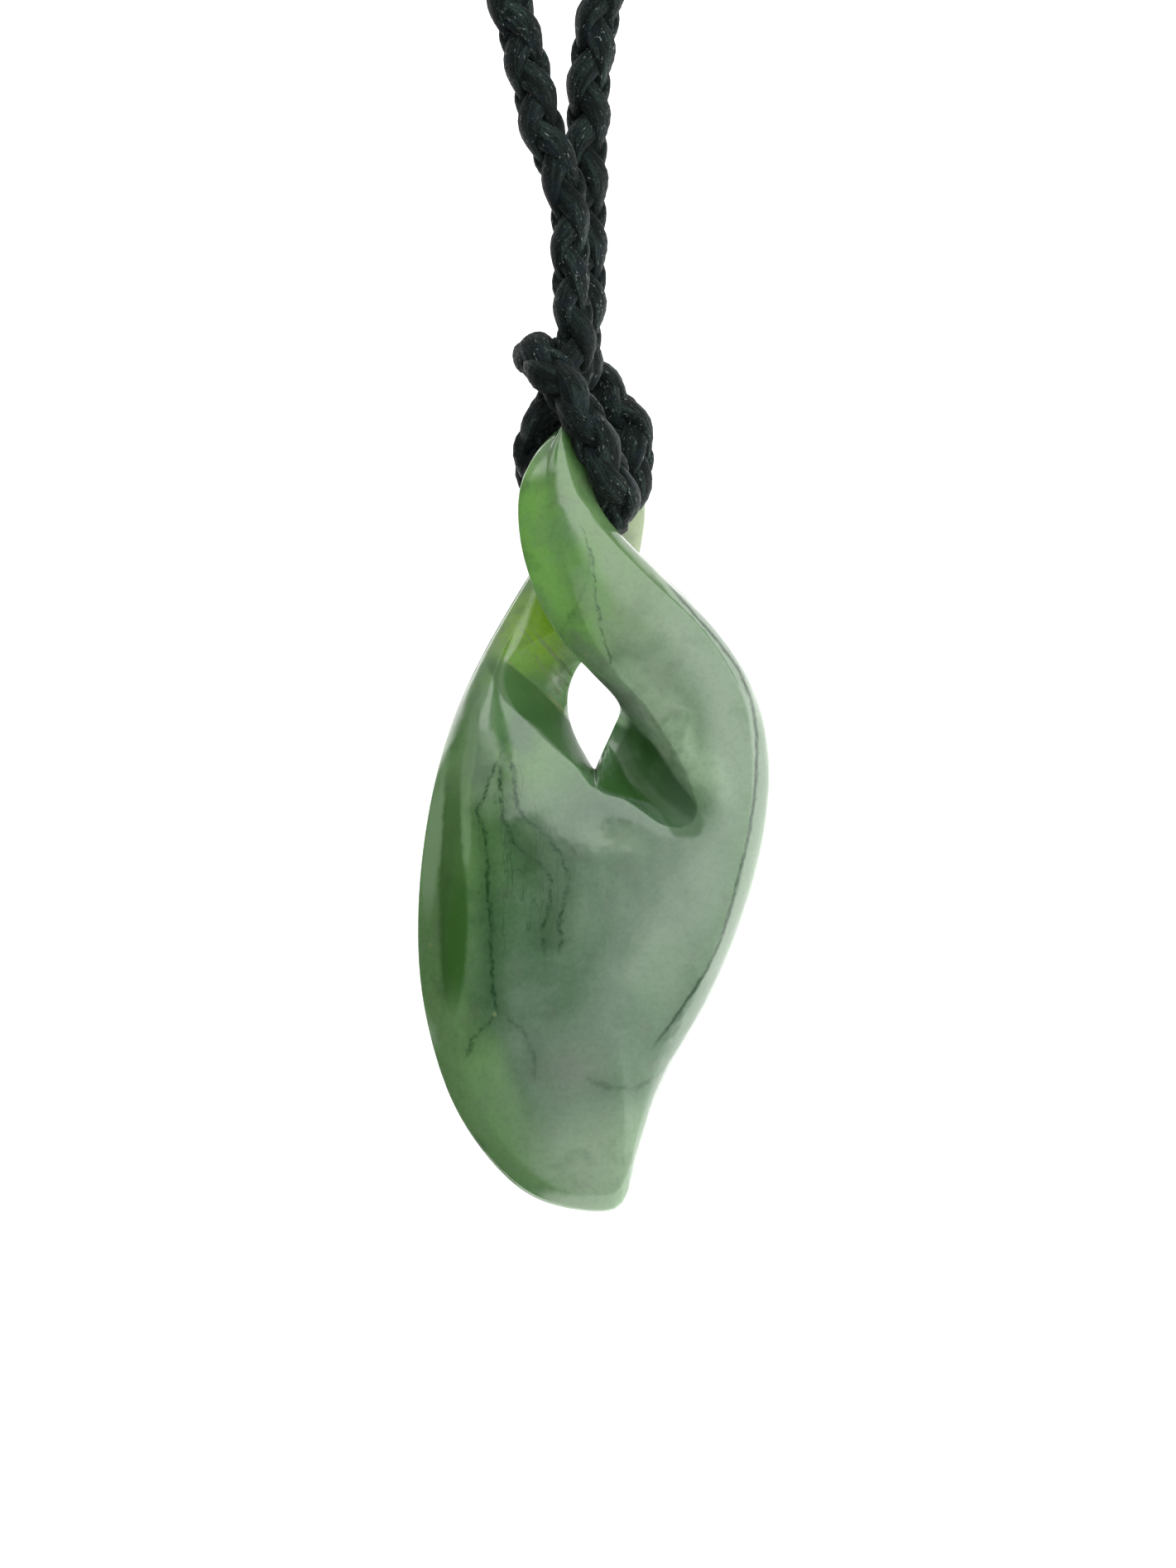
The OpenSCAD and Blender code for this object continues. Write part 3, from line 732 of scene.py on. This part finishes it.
def smooth_route(route, step):
    """Points along a route at most a step apart."""
    spots = [hung(*p) for p in route]
    line = spots[:1]
    for a, b, c, d in zip(spots[:1] + spots, spots, spots[1:], spots[2:] + spots[-1:]):
        count = max(1, math.ceil((c - b).length / step))
        line += [between(a, b, c, d, n / count) for n in range(1, count + 1)]
    return line


def length_of(line):
    """The length of a line of points."""
    return sum((b - a).length for a, b in zip(line, line[1:]))


def even_line(line, step):
    """The same line again with its points evenly spaced."""
    total = length_of(line)
    count = round(total / step)
    step = total / count
    spots, left, k = [line[0]], step, 0
    here = line[0]
    while len(spots) < count:
        stretch = (line[k + 1] - here).length
        if stretch < left:
            left -= stretch
            k += 1
            here = line[k]
        else:
            here = here.lerp(line[k + 1], left / stretch)
            spots.append(here)
            left = step
    spots.append(line[-1])
    return spots, step


def upright(vector, along):
    """The part of a vector square to a direction, as a unit vector."""
    return (vector - along * vector.dot(along)).normalized()


def carried(out, here, there, along, next_along):
    """Carries a direction along a line without twisting it."""
    step = there - here
    size = step.length_squared
    mirrored = out - step * (2 * step.dot(out) / size)
    ahead = along - step * (2 * step.dot(along) / size)
    turn = next_along - ahead
    if turn.length_squared < STRAIGHT:
        return upright(mirrored, next_along)
    return upright(mirrored - turn * (2 * turn.dot(mirrored) / turn.length_squared), next_along)


def directions(spots):
    """The way a line of points goes at each of them."""
    return [(b - a).normalized() for a, b in zip(spots[:1] + spots, spots[1:] + spots[-1:])]


class BraidLine:
    """The braid's middle line from the nape down the left, through the knot and up the right."""

    def __init__(self, cord):
        left = smooth_route(LEFT_ROUTE, FINE_STEP)[::-1]
        knot = smooth_route(HITCH_ROUTE, FINE_STEP)
        right = smooth_route(RIGHT_ROUTE, FINE_STEP)
        ring_step = cord.turn_length / cord.rings_per_turn
        self.spots, self.step = even_line(left + knot[1:] + right[1:], ring_step)
        self.left_end = length_of(left)
        self.knot_end = self.left_end + length_of(knot)
        self.along = directions(self.spots)
        self.out = self.outward()
        self.turns = self.turned(cord)

    def outward(self):
        """A direction square to the line at each point, facing the viewer on the free runs."""
        facing = [upright(TOWARDS_VIEWER, t) for t in self.along]
        first = int(self.left_end / self.step)
        last = int(self.knot_end / self.step) + 1
        chain = [facing[first]]
        for k in range(first, last):
            chain.append(carried(chain[-1], *self.spots[k:k + 2], *self.along[k:k + 2]))
        side = self.along[last].cross(facing[last])
        gap = math.atan2(chain[-1].dot(side), chain[-1].dot(facing[last]))
        for k in range(first, last + 1):
            share = (k - first) / (last - first)
            facing[k] = Matrix.Rotation(-gap * share, 3, self.along[k]) @ chain[k - first]
        return facing

    def turned(self, cord):
        """At each point: how far round the strands are, the braid's turn, its size and its spread."""
        found = []
        inside = self.knot_end - self.left_end
        spin = 2 * math.pi / cord.turn_length
        knot_spin = cord.knot_turns * 2 * math.pi / inside
        for k in range(len(self.spots)):
            run = k * self.step
            in_knot = min(max(run - self.left_end, 0), inside)
            free = run - in_knot
            share = in_knot / inside
            ease = step_between(share, 0, 1)
            deep = min(1, KNOT_EASE * share, KNOT_EASE * (1 - share))
            phase = spin * (free - self.left_end) + knot_spin * in_knot + math.radians(cord.left_phase)
            roll = math.radians(cord.left_roll) * (1 - ease) + math.radians(cord.right_roll) * ease
            pulled = min(1, abs(run - self.left_end - PULL_CENTRE) / PULL_REACH)
            size = 1 - (1 - cord.knot_squeeze) * deep
            size *= 1 - cord.pull * (1 + math.cos(math.pi * pulled)) / 2
            found.append((phase, roll, size, math.radians(cord.spread) * (1 - deep)))
        return found


def strand_rings(line, cord, number):
    """Where each ring of one strand lies: its matrix, from the unit circle to its place."""
    clockwise = number % 2 == 0
    start = math.pi * (number // 2)
    spots, outs = [], []
    for k, (phase, roll, size, spread) in enumerate(line.turns):
        angle = (phase if clockwise else -phase) + start + roll - cord.linger * math.sin(2 * phase)
        angle += spread * math.sin(angle)
        over = math.cos(2 * phase) * (1 if clockwise else -1)
        side = line.along[k].cross(line.out[k])
        out = line.out[k] * math.cos(angle) + side * math.sin(angle)
        reach = (cord.ring_radius + cord.weave_height * over) * size
        spots.append(line.spots[k] + out * reach)
        outs.append((out, over, size))
    rings = []
    for spot, along, (out, over, size) in zip(spots, directions(spots), outs):
        out = upright(out, along)
        half_width = cord.strand_width / 2 * size * (1 + OUTSIDE_WIDER * over)
        half_thick = cord.strand_thickness / 2 * size * (1 - OUTSIDE_THINNER * over)
        across = along.cross(out)
        rows = [(a * half_width, o * half_thick, t, s) for a, o, t, s in zip(across, out, along, spot)]
        rings.append(Matrix((*rows, (0, 0, 0, 1))))
    return rings


def short_strand(rings, first_ring, sides, step, girth):
    """A short open length of one strand, extruded ring by ring along its way."""
    bm = bmesh.new()
    lay = bm.loops.layers.uv.new("Lay")
    run = bm.verts.layers.float.new("run")
    verts = bmesh.ops.create_circle(bm, segments=sides, radius=1.0, matrix=rings[0])["verts"]
    for vert in verts:
        vert[run] = first_ring
    edges = bm.edges[:]
    for number, (before, ring) in enumerate(zip(rings, rings[1:]), first_ring + 1):
        made = bmesh.ops.extrude_edge_only(bm, edges=edges)["geom"]
        verts = [g for g in made if isinstance(g, bmesh.types.BMVert)]
        edges = [g for g in made if isinstance(g, bmesh.types.BMEdge)]
        bmesh.ops.transform(bm, matrix=ring @ before.inverted(), verts=verts)
        drift = ring.translation - sum((v.co for v in verts), Vector()) / sides
        for vert in verts:
            vert.co += drift
            vert[run] = number
    inverse = [ring.inverted() for ring in rings]
    for face in bm.faces:
        angles = []
        for loop in face.loops:
            local = inverse[round(loop.vert[run]) - first_ring] @ loop.vert.co
            angles.append((math.atan2(local.y, local.x) / (2 * math.pi) + 0.25) % 1.0)
        if max(angles) - min(angles) > 0.5:
            angles = [a + 1.0 if a < 0.5 else a for a in angles]
        for loop, angle in zip(face.loops, angles):
            loop[lay].uv = (angle * girth / MM, loop.vert[run] * step / MM)
    return bm


def strand_bmesh(rings, sides, step, girth):
    """One whole strand, joined from short lengths and closed at both ends."""
    strand = bmesh.new()
    for first in range(0, len(rings) - 1, RINGS_PER_LENGTH):
        part = short_strand(rings[first:first + RINGS_PER_LENGTH + 1], first, sides, step, girth)
        mesh = bpy.data.meshes.new("strand_part")
        part.to_mesh(mesh)
        part.free()
        strand.from_mesh(mesh)
        bpy.data.meshes.remove(mesh)
    bmesh.ops.remove_doubles(strand, verts=strand.verts, dist=0.002 * MM)
    bmesh.ops.holes_fill(strand, edges=[e for e in strand.edges if e.is_boundary], sides=0)
    bmesh.ops.recalc_face_normals(strand, faces=strand.faces)
    return strand


# The bound join at the nape

# Steps of the thread to each turn round the join, and sides of the thread and of the sleeve under it
STEPS_PER_TURN = 22
THREAD_SIDES = 8
SLEEVE_SIDES = 32
# Inner radius of the sleeve, which is the braid's own
SLEEVE_INSIDE = 1.5 * MM
# How deep the thread beds into the sleeve, as a share of the thread's thickness
THREAD_BED = 0.6


def lay_round(bm, middle, radius):
    """Maps thread that is wound round the X axis: across it and along it, in millimetres."""
    lay = bm.loops.layers.uv.new("Lay")
    for face in bm.faces:
        angles = [math.atan2(loop.vert.co.y - middle.y, loop.vert.co.z - middle.z) for loop in face.loops]
        if max(angles) - min(angles) > math.pi:
            angles = [a + 2 * math.pi if a < 0 else a for a in angles]
        for loop, angle in zip(face.loops, angles):
            loop[lay].uv = (loop.vert.co.x / MM, angle * radius / MM)


def wound_thread(middle, length, radius, thick):
    """Thread in close turns round the X axis, closed at both ends."""
    turns = int((length - thick) / thick)
    bm = bmesh.new()
    start = Vector((middle.x - turns * thick / 2, 0, middle.z + radius - thick / 2))
    place = Matrix.Translation(start) @ Matrix.Rotation(math.radians(90), 4, "X")
    bmesh.ops.create_circle(bm, cap_ends=False, segments=THREAD_SIDES, radius=thick / 2, matrix=place)
    bmesh.ops.spin(
        bm, geom=bm.verts[:] + bm.edges[:], cent=middle, axis=(1, 0, 0),
        dvec=(thick / STEPS_PER_TURN, 0, 0), angle=2 * math.pi * turns, steps=turns * STEPS_PER_TURN,
        use_merge=False,
    )
    bmesh.ops.holes_fill(bm, edges=bm.edges, sides=0)
    bmesh.ops.recalc_face_normals(bm, faces=bm.faces)
    lay_round(bm, middle, radius)
    return bm


def sleeve_under_thread(middle, length, radius, thick):
    """The round sleeve that the thread is wound on, open along the cord."""
    outer = radius - thick * THREAD_BED
    half = (length - thick) / 2
    bm = bmesh.new()
    corners = ((-half, SLEEVE_INSIDE), (half, SLEEVE_INSIDE), (half, outer), (-half, outer))
    bm.faces.new([bm.verts.new(middle + Vector((x, 0, z))) for x, z in corners])
    bmesh.ops.subdivide_edges(bm, edges=bm.edges[:], cuts=2, use_grid_fill=True)
    bmesh.ops.spin(
        bm, geom=bm.verts[:] + bm.edges[:] + bm.faces[:], cent=middle, axis=(1, 0, 0),
        angle=2 * math.pi, steps=SLEEVE_SIDES, use_merge=True,
    )
    bmesh.ops.remove_doubles(bm, verts=bm.verts, dist=0.001 * MM)
    inside = [f for f in bm.faces if abs(f.normal.x) < 0.01 and all(
        abs(v.co.x - middle.x) < half * 0.99
        and SLEEVE_INSIDE * 1.01 < (v.co - middle).yz.length < outer * 0.99
        for v in f.verts)]
    bmesh.ops.delete(bm, geom=inside, context="FACES")
    bmesh.ops.recalc_face_normals(bm, faces=bm.faces)
    lay_round(bm, middle, radius)
    return bm


# Settings that a user would change

def colour_setting(name, text, default):
    return FloatVectorProperty(
        name=name, description=text, default=default, min=0, max=1, subtype="COLOR", size=3,
    )


def length_setting(name, text, default, low, high):
    return FloatProperty(
        name=name, description=text, default=default, min=low, max=high,
        subtype="DISTANCE", unit="LENGTH", precision=5,
    )


def share_setting(name, text, default, high=1.0):
    return FloatProperty(name=name, description=text, default=default, min=0, max=high, subtype="FACTOR")


def angle_setting(name, text, default):
    return FloatProperty(name=name, description=text, default=default, min=-360, max=360)


def count_setting(name, text, default, low, high):
    return IntProperty(name=name, description=text, default=default, min=low, max=high)


class StoneSettings(bpy.types.PropertyGroup):
    milky: colour_setting("Milky heart", "Cloudy grey-green of the thick stone", (0.090, 0.173, 0.095))
    clear: colour_setting("Clear green", "Green of the clearer stone near the edges", (0.150, 0.310, 0.105))
    # Partly a painted glow of light coming through the thin stone at the edges
    thin: colour_setting("Thin stone", "Brighter green of the arm and the thin edges", (0.195, 0.365, 0.145))
    # Also painted light over the front arm's lower right edge
    misty: colour_setting("Misty stone", "Pale grey-green of the arm's right side", (0.210, 0.315, 0.190))
    # Also painted shade in the pocket and below the back arm, and partly a painted dark reflection in the
    # middle of the face
    deep: colour_setting("Deep green", "Dark green of the thick middle and the pocket", (0.060, 0.145, 0.056))
    # Painted shade in the pocket and below the back arm, the cord's painted shadow at the stone's tip, and
    # partly a painted dark reflection in the middle of the face
    pocket: colour_setting("Pocket", "Darkest green, in the pocket beside the hole", (0.020, 0.090, 0.010))
    # Painted dark reflection down the left side, and painted shade below the back arm
    lens: colour_setting("Clear dark band", "Darkest clear green, down the left side", (0.046, 0.140, 0.024))
    glow: colour_setting("Glow", "Yellow-green of the thin back arm in the light", (0.30, 0.55, 0.035))
    arm: colour_setting("Arm", "Green of the arm's upper part", (0.140, 0.250, 0.098))
    leaf: colour_setting("Leaf green", "Full green along the middle of the arm", (0.130, 0.320, 0.068))
    fresh: colour_setting("Fresh green", "Brightest green, down the arm's shaded side", (0.230, 0.530, 0.110))
    # Painted rim light: pale green on rims and edges, lighter where real shade and dark reflections fall
    rim_light: colour_setting("Rim", "Pale green of the lit rims", (0.390, 0.550, 0.360))
    lit: colour_setting("Lit thin stone", "Palest green, of thin stone and fine lines", (0.260, 0.340, 0.150))
    pale: colour_setting("Pale cloud", "Palest cloud in the stone", (0.155, 0.248, 0.152))
    rosy: colour_setting("Rosy cloud", "Faint warm grey cloud", (0.125, 0.125, 0.1))
    vein: colour_setting("Wisps", "Dark wisps inside the stone", (0.010, 0.052, 0.014))
    haze: colour_setting("Haze", "Dark green haze round the wisps", (0.030, 0.088, 0.030))
    roughness: share_setting("Roughness", "Roughness of the polished surface", 0.16)
    translucency: share_setting("Translucency", "Share of the light that goes into the stone", 0.3)
    depth: length_setting("Light depth", "How far the light goes into the stone", 0.0012, 0.0, 0.02)
    polish: share_setting("Polish", "Strength of the clear polish", 0.8)


class CordSettings(bpy.types.PropertyGroup):
    thread: colour_setting("Thread", "Black of the waxed thread", (0.0020, 0.0058, 0.0046))
    # The lighter tops of the fibres; the darker thread between them is painted shade
    thread_light: colour_setting("Worn thread", "Lighter fibres of the waxed thread", (0.027, 0.048, 0.040))
    thread_blue: colour_setting("Bluish thread", "Faint blue of some fibres", (0.009, 0.016, 0.024))
    wax_glint: colour_setting("Glints", "Small glints of wax", (0.24, 0.27, 0.24))
    ring_radius: length_setting("Strand ring", "Radius on which the four strands run", 0.68 * MM, 0, 0.01)
    weave_height: length_setting("Weave height", "How far a strand moves out and in", 0.27 * MM, 0, 0.01)
    strand_width: length_setting("Strand width", "Width of a strand", 1.78 * MM, 0, 0.01)
    strand_thickness: length_setting("Strand thickness", "Thickness of a strand", 1.16 * MM, 0, 0.01)
    turn_length: length_setting("Turn length", "Length of one turn of a strand", 8.12 * MM, 0.001, 0.1)
    knot_turns: FloatProperty(
        name="Turns in the knot", description="Turns of the strands in the knot", default=9.52,
    )
    knot_squeeze: share_setting("Knot squeeze", "Size of the braid in the knot against the free braid", 1.0)
    pull: share_setting("Pull", "How much thinner the left run is pulled just over the knot", 0.14)
    left_phase: angle_setting("Left start", "Where the strands cross on the left run, in degrees", 30.0)
    left_roll: angle_setting("Left turn", "How the left run is turned, in degrees", 55.0)
    right_roll: angle_setting("Right turn", "How the right run is turned, in degrees", -45.0)
    spread: angle_setting("Spread", "How far the strands part on the side to the viewer, in degrees", 16.0)
    linger: share_setting("Linger", "How much longer a strand lies outside than inside", 0.27)
    rings_per_turn: count_setting("Rings to a turn", "Mesh rings to each turn", 22, 8, 40)
    strand_sides: count_setting("Strand sides", "Sides of each strand", 14, 6, 24)


class WhippingSettings(bpy.types.PropertyGroup):
    thread: colour_setting("Thread", "Black of the binding thread", (0.0040, 0.0068, 0.0058))
    # The lighter tops of the fibres; the darker thread between them is painted shade
    thread_light: colour_setting("Worn thread", "Lighter fibres of the binding thread", (0.034, 0.048, 0.042))
    thread_blue: colour_setting("Bluish thread", "Faint blue of some fibres", (0.014, 0.020, 0.027))
    wax_glint: colour_setting("Glints", "Small glints of wax", (0.20, 0.22, 0.20))
    thread_size: length_setting("Thread size", "Thickness of the binding thread", 0.5 * MM, 0.0001, 0.002)


class StageSettings(bpy.types.PropertyGroup):
    surround: share_setting("Surround", "Brightness of the white surround", 1.8, 10)
    tent_radius: length_setting("Light tent", "Radius of the light tent round the pendant", 0.5, 0.4, 1.5)
    eye_distance: length_setting("Camera distance", "From the camera to the stone", 0.4, 0.1, 4)
    view_height: length_setting("View height", "Height of the picture at the stone", 0.099, 0.01, 1)


class PendantSettings(bpy.types.PropertyGroup):
    stone: PointerProperty(type=StoneSettings)
    cord: PointerProperty(type=CordSettings)
    whipping: PointerProperty(type=WhippingSettings)
    stage: PointerProperty(type=StageSettings)


# The stage

# What the stone mirrors: white, with these dimmer places in it, each row with its
# turn from the viewer's side towards +X and its rise, from and to, then how softly it starts and ends
# each way, then its brightness. Angles are in degrees.
DIM_IN_FRONT = (
    ((-70, 22), (0, 38), (-24, 11), (13, 3), 0.05),
    ((-85, 70), (20, 30), (-70, -8), (20, 16), 1.0),
    ((-130, -8), (16, 34), (-74, 34), (12, 11), 0.05),
    ((-68, -22), (6, 10), (30, 76), (6, 5), 0.04),
    ((82, 124), (5, 6), (18, 70), (5, 6), 0.10),
    ((56, 92), (6, 6), (34, 74), (6, 6), 0.10),
    ((-174, -126), (5, 8), (-46, -10), (6, 5), 0.05),
    ((118, 150), (8, 8), (-34, 12), (8, 8), 1.35),
    ((110, 152), (6, 6), (35, 74), (5, 6), 0.08),
    ((-142, -82), (10, 8), (20, 56), (6, 8), 0.45),
)
# The same with the turn measured from the far side towards +X
DIM_BEHIND = (
    ((-30, 14), (6, 6), (6, 74), (5, 8), 0.08),
    ((20, 60), (6, 6), (12, 50), (6, 8), 1.2),
)
# The sharpest edge of a dim place, in degrees
SHARPEST = 0.5


def add_stage(name, mesh, material):
    """Links an object that isn't part of the pendant."""
    thing = bpy.data.objects.new(name, mesh)
    bpy.context.scene.collection.objects.link(thing)
    mesh.materials.append(material)
    return thing


def backdrop_mesh():
    """A floor that curves up into a wall."""
    half, front, back, floor, cove, top = 3.5, -3.5, 2.4, -1.3, 0.8, 3.0
    bm = bmesh.new()
    edge = [bm.verts.new((x, front, floor)) for x in (-half, half)]
    line = [bm.edges.new(edge)]
    for move in (Vector((0, back - front, 0)), None, Vector((0, 0, top - floor - cove))):
        if move is None:
            made = bmesh.ops.spin(
                bm, geom=line + [v for e in line for v in e.verts], cent=(0, back, floor + cove),
                axis=(1, 0, 0), angle=math.radians(90), steps=16, use_merge=False,
            )["geom_last"]
        else:
            made = bmesh.ops.extrude_edge_only(bm, edges=line)["geom"]
            bmesh.ops.translate(bm, vec=move, verts=[g for g in made if isinstance(g, bmesh.types.BMVert)])
        line = [g for g in made if isinstance(g, bmesh.types.BMEdge)]
    bmesh.ops.recalc_face_normals(bm, faces=bm.faces)
    return finished_mesh(bm, "backdrop")


def backdrop_material():
    """Plain white paper."""
    m = Recipe("Backdrop")
    paper = m.noise(m.object_place(), 3.0, 3.0, 0.5)
    shade = m.mix(m.fade(paper, 0.2, 0.8), (0.90, 0.90, 0.90), (0.93, 0.93, 0.93))
    return m.finish(Base_Color=shade, Roughness=0.9, Specular_IOR_Level=0.0)


def window(recipe, angle, limits, soft):
    """One between two angles, easing to nothing at each of them."""
    low, high = (math.radians(limit) for limit in limits)
    rising, falling = (math.radians(max(ease, SHARPEST)) for ease in soft)
    return recipe.times(recipe.fade(angle, low, low + rising), recipe.fade(angle, high, high - falling))


def tent_material(stage):
    """The light tent's inside: white, easing into the dimmer places."""
    m = Recipe("Light tent")
    way = m.add("ShaderNodeVectorMath", {"operation": "NORMALIZE"}, Vector=m.object_place()).outputs[0]
    across, back, up = m.add("ShaderNodeSeparateXYZ", Vector=way).outputs
    from_front = m.math("ARCTAN2", across, m.math("MULTIPLY", back, -1.0))
    from_back = m.math("ARCTAN2", across, back)
    rise = m.math("ARCSINE", up)
    level = stage.surround
    for angle, rows in ((from_front, DIM_IN_FRONT), (from_back, DIM_BEHIND)):
        for turn, turn_soft, lift, lift_soft, glow in rows:
            share = m.times(window(m, angle, turn, turn_soft), window(m, rise, lift, lift_soft))
            loss = 1 - glow / stage.surround
            level = m.times(level, m.math("MULTIPLY_ADD", share, -loss, 1.0))
    m.material.cycles.emission_sampling = "NONE"
    return m.finish(
        Base_Color=(0, 0, 0, 1), Roughness=1.0, Specular_IOR_Level=0.0,
        Emission_Color=(1, 1, 1, 1), Emission_Strength=level,
    )


# Operators

class PENDANT_OT_camera(bpy.types.Operator):
    """Places the camera level with the stone, as the photograph was taken"""

    bl_idname = "pendant.camera"
    bl_label = "Camera"

    def execute(self, context):
        stage = context.scene.pendant.stage
        data = bpy.data.cameras.new("Camera")
        camera = bpy.data.objects.new("Camera", data)
        context.scene.collection.objects.link(camera)
        camera.location = PICTURE_MIDDLE + TOWARDS_VIEWER * stage.eye_distance
        camera.rotation_euler = (math.radians(90), 0, 0)
        data.angle = 2 * math.atan(stage.view_height / 2 / stage.eye_distance)
        data.clip_start = 0.01
        data.clip_end = 60
        context.scene.camera = camera
        return {"FINISHED"}


class PENDANT_OT_stone(bpy.types.Operator):
    """Makes the polished stone: the solid's own shape, smoothed, in greenstone"""

    bl_idname = "pendant.stone"
    bl_label = "Polished stone"

    def execute(self, context):
        bm = bmesh.new()
        bm.from_mesh(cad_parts["greenstone_twist"].data)
        bmesh.ops.remove_doubles(bm, verts=bm.verts, dist=0.0001 * MM)
        bmesh.ops.join_triangles(
            bm, faces=bm.faces, angle_face_threshold=JOIN_TURN, angle_shape_threshold=SQUARE_LIMIT,
        )
        join_slivers(bm)
        even_out(bm)
        keep_ridges(bm)
        lower_lip(bm)
        bm = rounded(bm, levels=2)
        even_out(bm)
        mesh = finished_mesh(bm, "polished_twist")
        material = greenstone_material(context.scene.pendant.stone)
        add_piece("polished_twist", mesh, material, "greenstone", "greenstone_twist")
        return {"FINISHED"}


class PENDANT_OT_braid(bpy.types.Operator):
    """Makes the four strands of the braid, each in one length right through the knot"""

    bl_idname = "pendant.braid"
    bl_label = "Braided cord"

    def execute(self, context):
        cord = context.scene.pendant.cord
        line = BraidLine(cord)
        girth = math.pi * (cord.strand_width + cord.strand_thickness) / 2
        for number in range(4):
            name = f"braid_strand_{number + 1}"
            lean = FIBRE_LEAN if number % 2 == 0 else -FIBRE_LEAN
            material = thread_material(f"Waxed thread {number + 1}", cord, fibre=0.07, lean=lean)
            bm = strand_bmesh(strand_rings(line, cord, number), cord.strand_sides, line.step, girth)
            add_piece(
                name, finished_mesh(bm, name), material, "braided_cord",
                "hitch", "neck_cord_left", "neck_cord_right",
            )
        return {"FINISHED"}


class PENDANT_OT_whipping(bpy.types.Operator):
    """Binds the two ends of the braid at the nape with close turns of thread"""

    bl_idname = "pendant.whipping"
    bl_label = "Nape whipping"

    def execute(self, context):
        look = context.scene.pendant.whipping
        middle = (WHIPPING_LOW + WHIPPING_HIGH) / 2
        length = WHIPPING_HIGH.x - WHIPPING_LOW.x
        radius = (WHIPPING_HIGH.z - WHIPPING_LOW.z) / 2
        material = thread_material("Binding thread", look, fibre=0.05, lean=20.0)
        for name, make in (("whipping_thread", wound_thread), ("whipping_core", sleeve_under_thread)):
            mesh = finished_mesh(make(middle, length, radius, look.thread_size), name)
            add_piece(name, mesh, material, "whipping_thread", "nape_whipping")
        return {"FINISHED"}


class PENDANT_OT_stage(bpy.types.Operator):
    """Sets the pale floor and backdrop, the white surround and the light tent round the pendant"""

    bl_idname = "pendant.stage"
    bl_label = "Floor and light"

    def execute(self, context):
        scene = context.scene
        stage = scene.pendant.stage
        scene.view_settings.view_transform = "Standard"
        world = bpy.data.worlds.new("Surround")
        world.use_nodes = True
        sky = world.node_tree.nodes["Background"]
        sky.inputs["Color"].default_value = (1, 1, 1, 1)
        sky.inputs["Strength"].default_value = stage.surround
        scene.world = world
        add_stage("backdrop", backdrop_mesh(), backdrop_material())

        bm = bmesh.new()
        bmesh.ops.create_uvsphere(bm, u_segments=48, v_segments=24, radius=stage.tent_radius)
        bmesh.ops.reverse_faces(bm, faces=bm.faces)
        tent = add_stage("light_tent", finished_mesh(bm, "light_tent"), tent_material(stage))
        tent.location = STONE_MIDDLE
        tent.visible_camera = False
        return {"FINISHED"}


class PENDANT_PT_sidebar(bpy.types.Panel):
    """Lists the pendant's pieces and their settings"""

    bl_label = "Greenstone twist pendant"
    bl_idname = "PENDANT_PT_sidebar"
    bl_space_type = "VIEW_3D"
    bl_region_type = "UI"
    bl_category = "Pendant"

    def draw(self, context):
        settings = context.scene.pendant
        for title, group, operators in (
            ("Stone", settings.stone, ("pendant.stone",)),
            ("Cord", settings.cord, ("pendant.braid",)),
            ("Whipping", settings.whipping, ("pendant.whipping",)),
            ("Stage", settings.stage, ("pendant.camera", "pendant.stage")),
        ):
            box = self.layout.box()
            box.label(text=title)
            for operator in operators:
                box.operator(operator)
            for name in group.__annotations__:
                box.prop(group, name)


CLASSES = (
    StoneSettings, CordSettings, WhippingSettings, StageSettings, PendantSettings,
    PENDANT_OT_camera, PENDANT_OT_stone, PENDANT_OT_braid, PENDANT_OT_whipping, PENDANT_OT_stage,
    PENDANT_PT_sidebar,
)


def register():
    for kind in CLASSES:
        bpy.utils.register_class(kind)
    bpy.types.Scene.pendant = PointerProperty(type=PendantSettings)


def unregister():
    del bpy.types.Scene.pendant
    for kind in reversed(CLASSES):
        bpy.utils.unregister_class(kind)


def main():
    register()
    bpy.ops.pendant.camera()
    bpy.ops.pendant.stone()
    bpy.ops.pendant.braid()
    bpy.ops.pendant.whipping()
    bpy.ops.pendant.stage()


if __name__ == "__main__":
    main()
